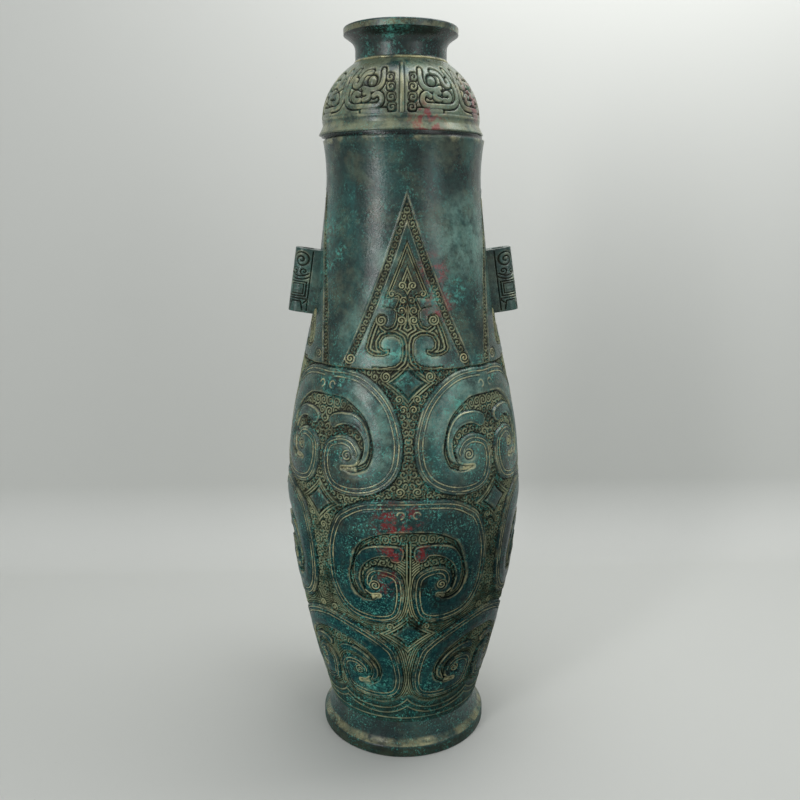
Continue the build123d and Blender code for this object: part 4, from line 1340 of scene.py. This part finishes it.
class HU_OT_lid_crown(bpy.types.Operator):
    """The flared ring on top of the lid"""

    bl_idname = "hu_vessel.lid_crown"
    bl_label = "Lid crown"

    def execute(self, context):
        material = patina_of("crown_patina", context.scene.hu_colours)
        low, high = CROWN_LOW[2], CROWN_HIGH[2]
        band = high - CROWN_BAND
        up = np.concatenate([np.linspace(low + 0.05, band, CROWN_ROWS), [band + 0.3, band + 1.5, high - 1.2]])
        outer = ray_radius("lid_crown", up, axis_x=LID_X)
        inner = ray_radius("lid_crown", up, inward=False, axis_x=LID_X)
        rim_in = np.array(CROWN_RIM_SHAPE) + (inner[-1], high)
        rim_out = np.array(CROWN_RIM_SHAPE)[::-1] * (-1, 1) + (outer[-1], high)
        outer += CROWN_BEAD_RISE * ridge(up, low + CROWN_BEAD[0], CROWN_BEAD[1])
        outer_wall, inner_wall = np.stack([outer, up], axis=1), np.stack([inner, up], axis=1)
        profile = np.concatenate([outer_wall, rim_out, rim_in, inner_wall[::-1]])
        angle = np.linspace(0, 360, CROWN_COLUMNS, endpoint=False)
        sway = context.scene.hu_sizes.cast_wobble / MM * wobble(angle[None], 2 * profile[:, 1:])
        points = turned_points(profile[:, :1] + sway, profile[:, 1:], angle[None], LID_X)
        relief = Relief((len(profile), len(angle)))
        outside = slice(0, len(up))
        level = up[:, None]
        bead = ridge(level, low + CROWN_BEAD[0], 2.4)
        relief.crest[outside] = np.maximum(bead, 0.55 * fade(level, band, band + 0.3))
        paint = paint_of(relief)
        # Painted shade on the flare under the crown's band
        paint["sunk"][outside] = 0.85 * fade(level, band - 6, band - 2) * (level <= band)
        grid_piece("lid_crown_ring", points, "lid", material, ["lid_crown"],
                   ring=True, corners=(0, CROWN_ROWS - 1, len(profile) - 1), paint=paint)
        return {"FINISHED"}


class HU_OT_inside(bpy.types.Operator):
    """Dull bronze for the turned pieces that show when the lid is off"""

    bl_idname = "hu_vessel.inside"
    bl_label = "Inside"

    def execute(self, context):
        material = patina_of("inner_patina", context.scene.hu_colours)
        for node in ("floor_plate", "lid_tongue"):
            piece = frame["nodes"][node]
            piece.data.materials.clear()
            piece.data.materials.append(material)
        return {"FINISHED"}


class HU_OT_stage(bpy.types.Operator):
    """Pale paper sweep, soft lamps and the camera"""

    bl_idname = "hu_vessel.stage"
    bl_label = "Stage"

    def execute(self, context):
        scene = context.scene
        turn = np.linspace(0, math.pi / 2, 24)
        bend_y = SWEEP_BACK - SWEEP_BEND + SWEEP_BEND * np.sin(turn)
        y = np.concatenate([[-2.0, -1.0, -0.4, 0.0], bend_y, [SWEEP_BACK] * 3])
        z = np.concatenate([[0.0] * 4, SWEEP_BEND - SWEEP_BEND * np.cos(turn), [0.5, 1.2, 2.4]])
        x = np.linspace(-SWEEP_HALF, SWEEP_HALF, 9)
        points = np.stack(np.broadcast_arrays(x[None], y[:, None], z[:, None]), axis=-1)
        index = np.arange(points.size // 3).reshape(points.shape[:2])
        faces = np.stack([index[:-1, :-1], index[:-1, 1:], index[1:, 1:], index[1:, :-1]], axis=-1)
        mesh = bpy.data.meshes.new("paper_sweep")
        mesh.from_pydata(points.reshape(-1, 3).tolist(), [], faces.reshape(-1, 4).tolist())
        mesh.shade_smooth()
        mesh.materials.append(bpy.data.materials.get("paper") or paper("paper", scene.hu_colours))
        sweep = bpy.data.objects.new("paper_sweep", mesh)
        scene.collection.objects.link(sweep)

        for name, place, aim, size, power in LAMPS:
            data = bpy.data.lights.new(name, "AREA")
            data.shape = "RECTANGLE"
            data.size, data.size_y = size
            data.energy = power
            lamp = bpy.data.objects.new(name, data)
            lamp.location = place
            lamp.rotation_euler = (Vector(aim) - Vector(place)).to_track_quat("-Z", "Y").to_euler()
            scene.collection.objects.link(lamp)

        scene.world = scene.world or bpy.data.worlds.new("room")
        scene.world.use_nodes = True
        background = scene.world.node_tree.nodes["Background"].inputs
        background["Color"].default_value = WORLD_COLOUR
        background["Strength"].default_value = WORLD_STRENGTH
        scene.view_settings.view_transform = "Standard"

        data = bpy.data.cameras.new("camera")
        data.sensor_width = SENSOR
        data.lens = SENSOR * FOCAL_LENGTH / PICTURE_WIDTH
        data.shift_x = SIDE_SHIFT / PICTURE_WIDTH
        camera = bpy.data.objects.new("camera", data)
        camera.location = CAMERA_PLACE
        camera.rotation_euler = (math.radians(90 - CAMERA_DOWN), 0, math.radians(CAMERA_TURN))
        scene.collection.objects.link(camera)
        scene.camera = camera
        return {"FINISHED"}


class HU_PT_panel(bpy.types.Panel):
    """Sidebar panel that lists the sizes, the colours and the pieces"""

    bl_idname = "HU_PT_panel"
    bl_label = "Hu vessel"
    bl_space_type = "VIEW_3D"
    bl_region_type = "UI"
    bl_category = "Hu vessel"

    def draw(self, context):
        for group in (context.scene.hu_sizes, context.scene.hu_colours):
            for label in group.__annotations__:
                self.layout.prop(group, label)
        for operator in OPERATORS:
            self.layout.operator(operator.bl_idname)


OPERATORS = (
    HU_OT_belly, HU_OT_neck, HU_OT_foot, HU_OT_lugs,
    HU_OT_lid_dome, HU_OT_lid_crown, HU_OT_inside, HU_OT_stage,
)
CLASSES = (HuSizes, HuColours, *OPERATORS, HU_PT_panel)


def register():
    for part in CLASSES:
        bpy.utils.register_class(part)
    bpy.types.Scene.hu_sizes = bpy.props.PointerProperty(type=HuSizes)
    bpy.types.Scene.hu_colours = bpy.props.PointerProperty(type=HuColours)


def unregister():
    del bpy.types.Scene.hu_colours
    del bpy.types.Scene.hu_sizes
    for part in reversed(CLASSES):
        bpy.utils.unregister_class(part)


def main():
    register()
    for operator in OPERATORS:
        getattr(bpy.ops.hu_vessel, operator.bl_idname.split(".")[1])()


if __name__ == "__main__":
    main()
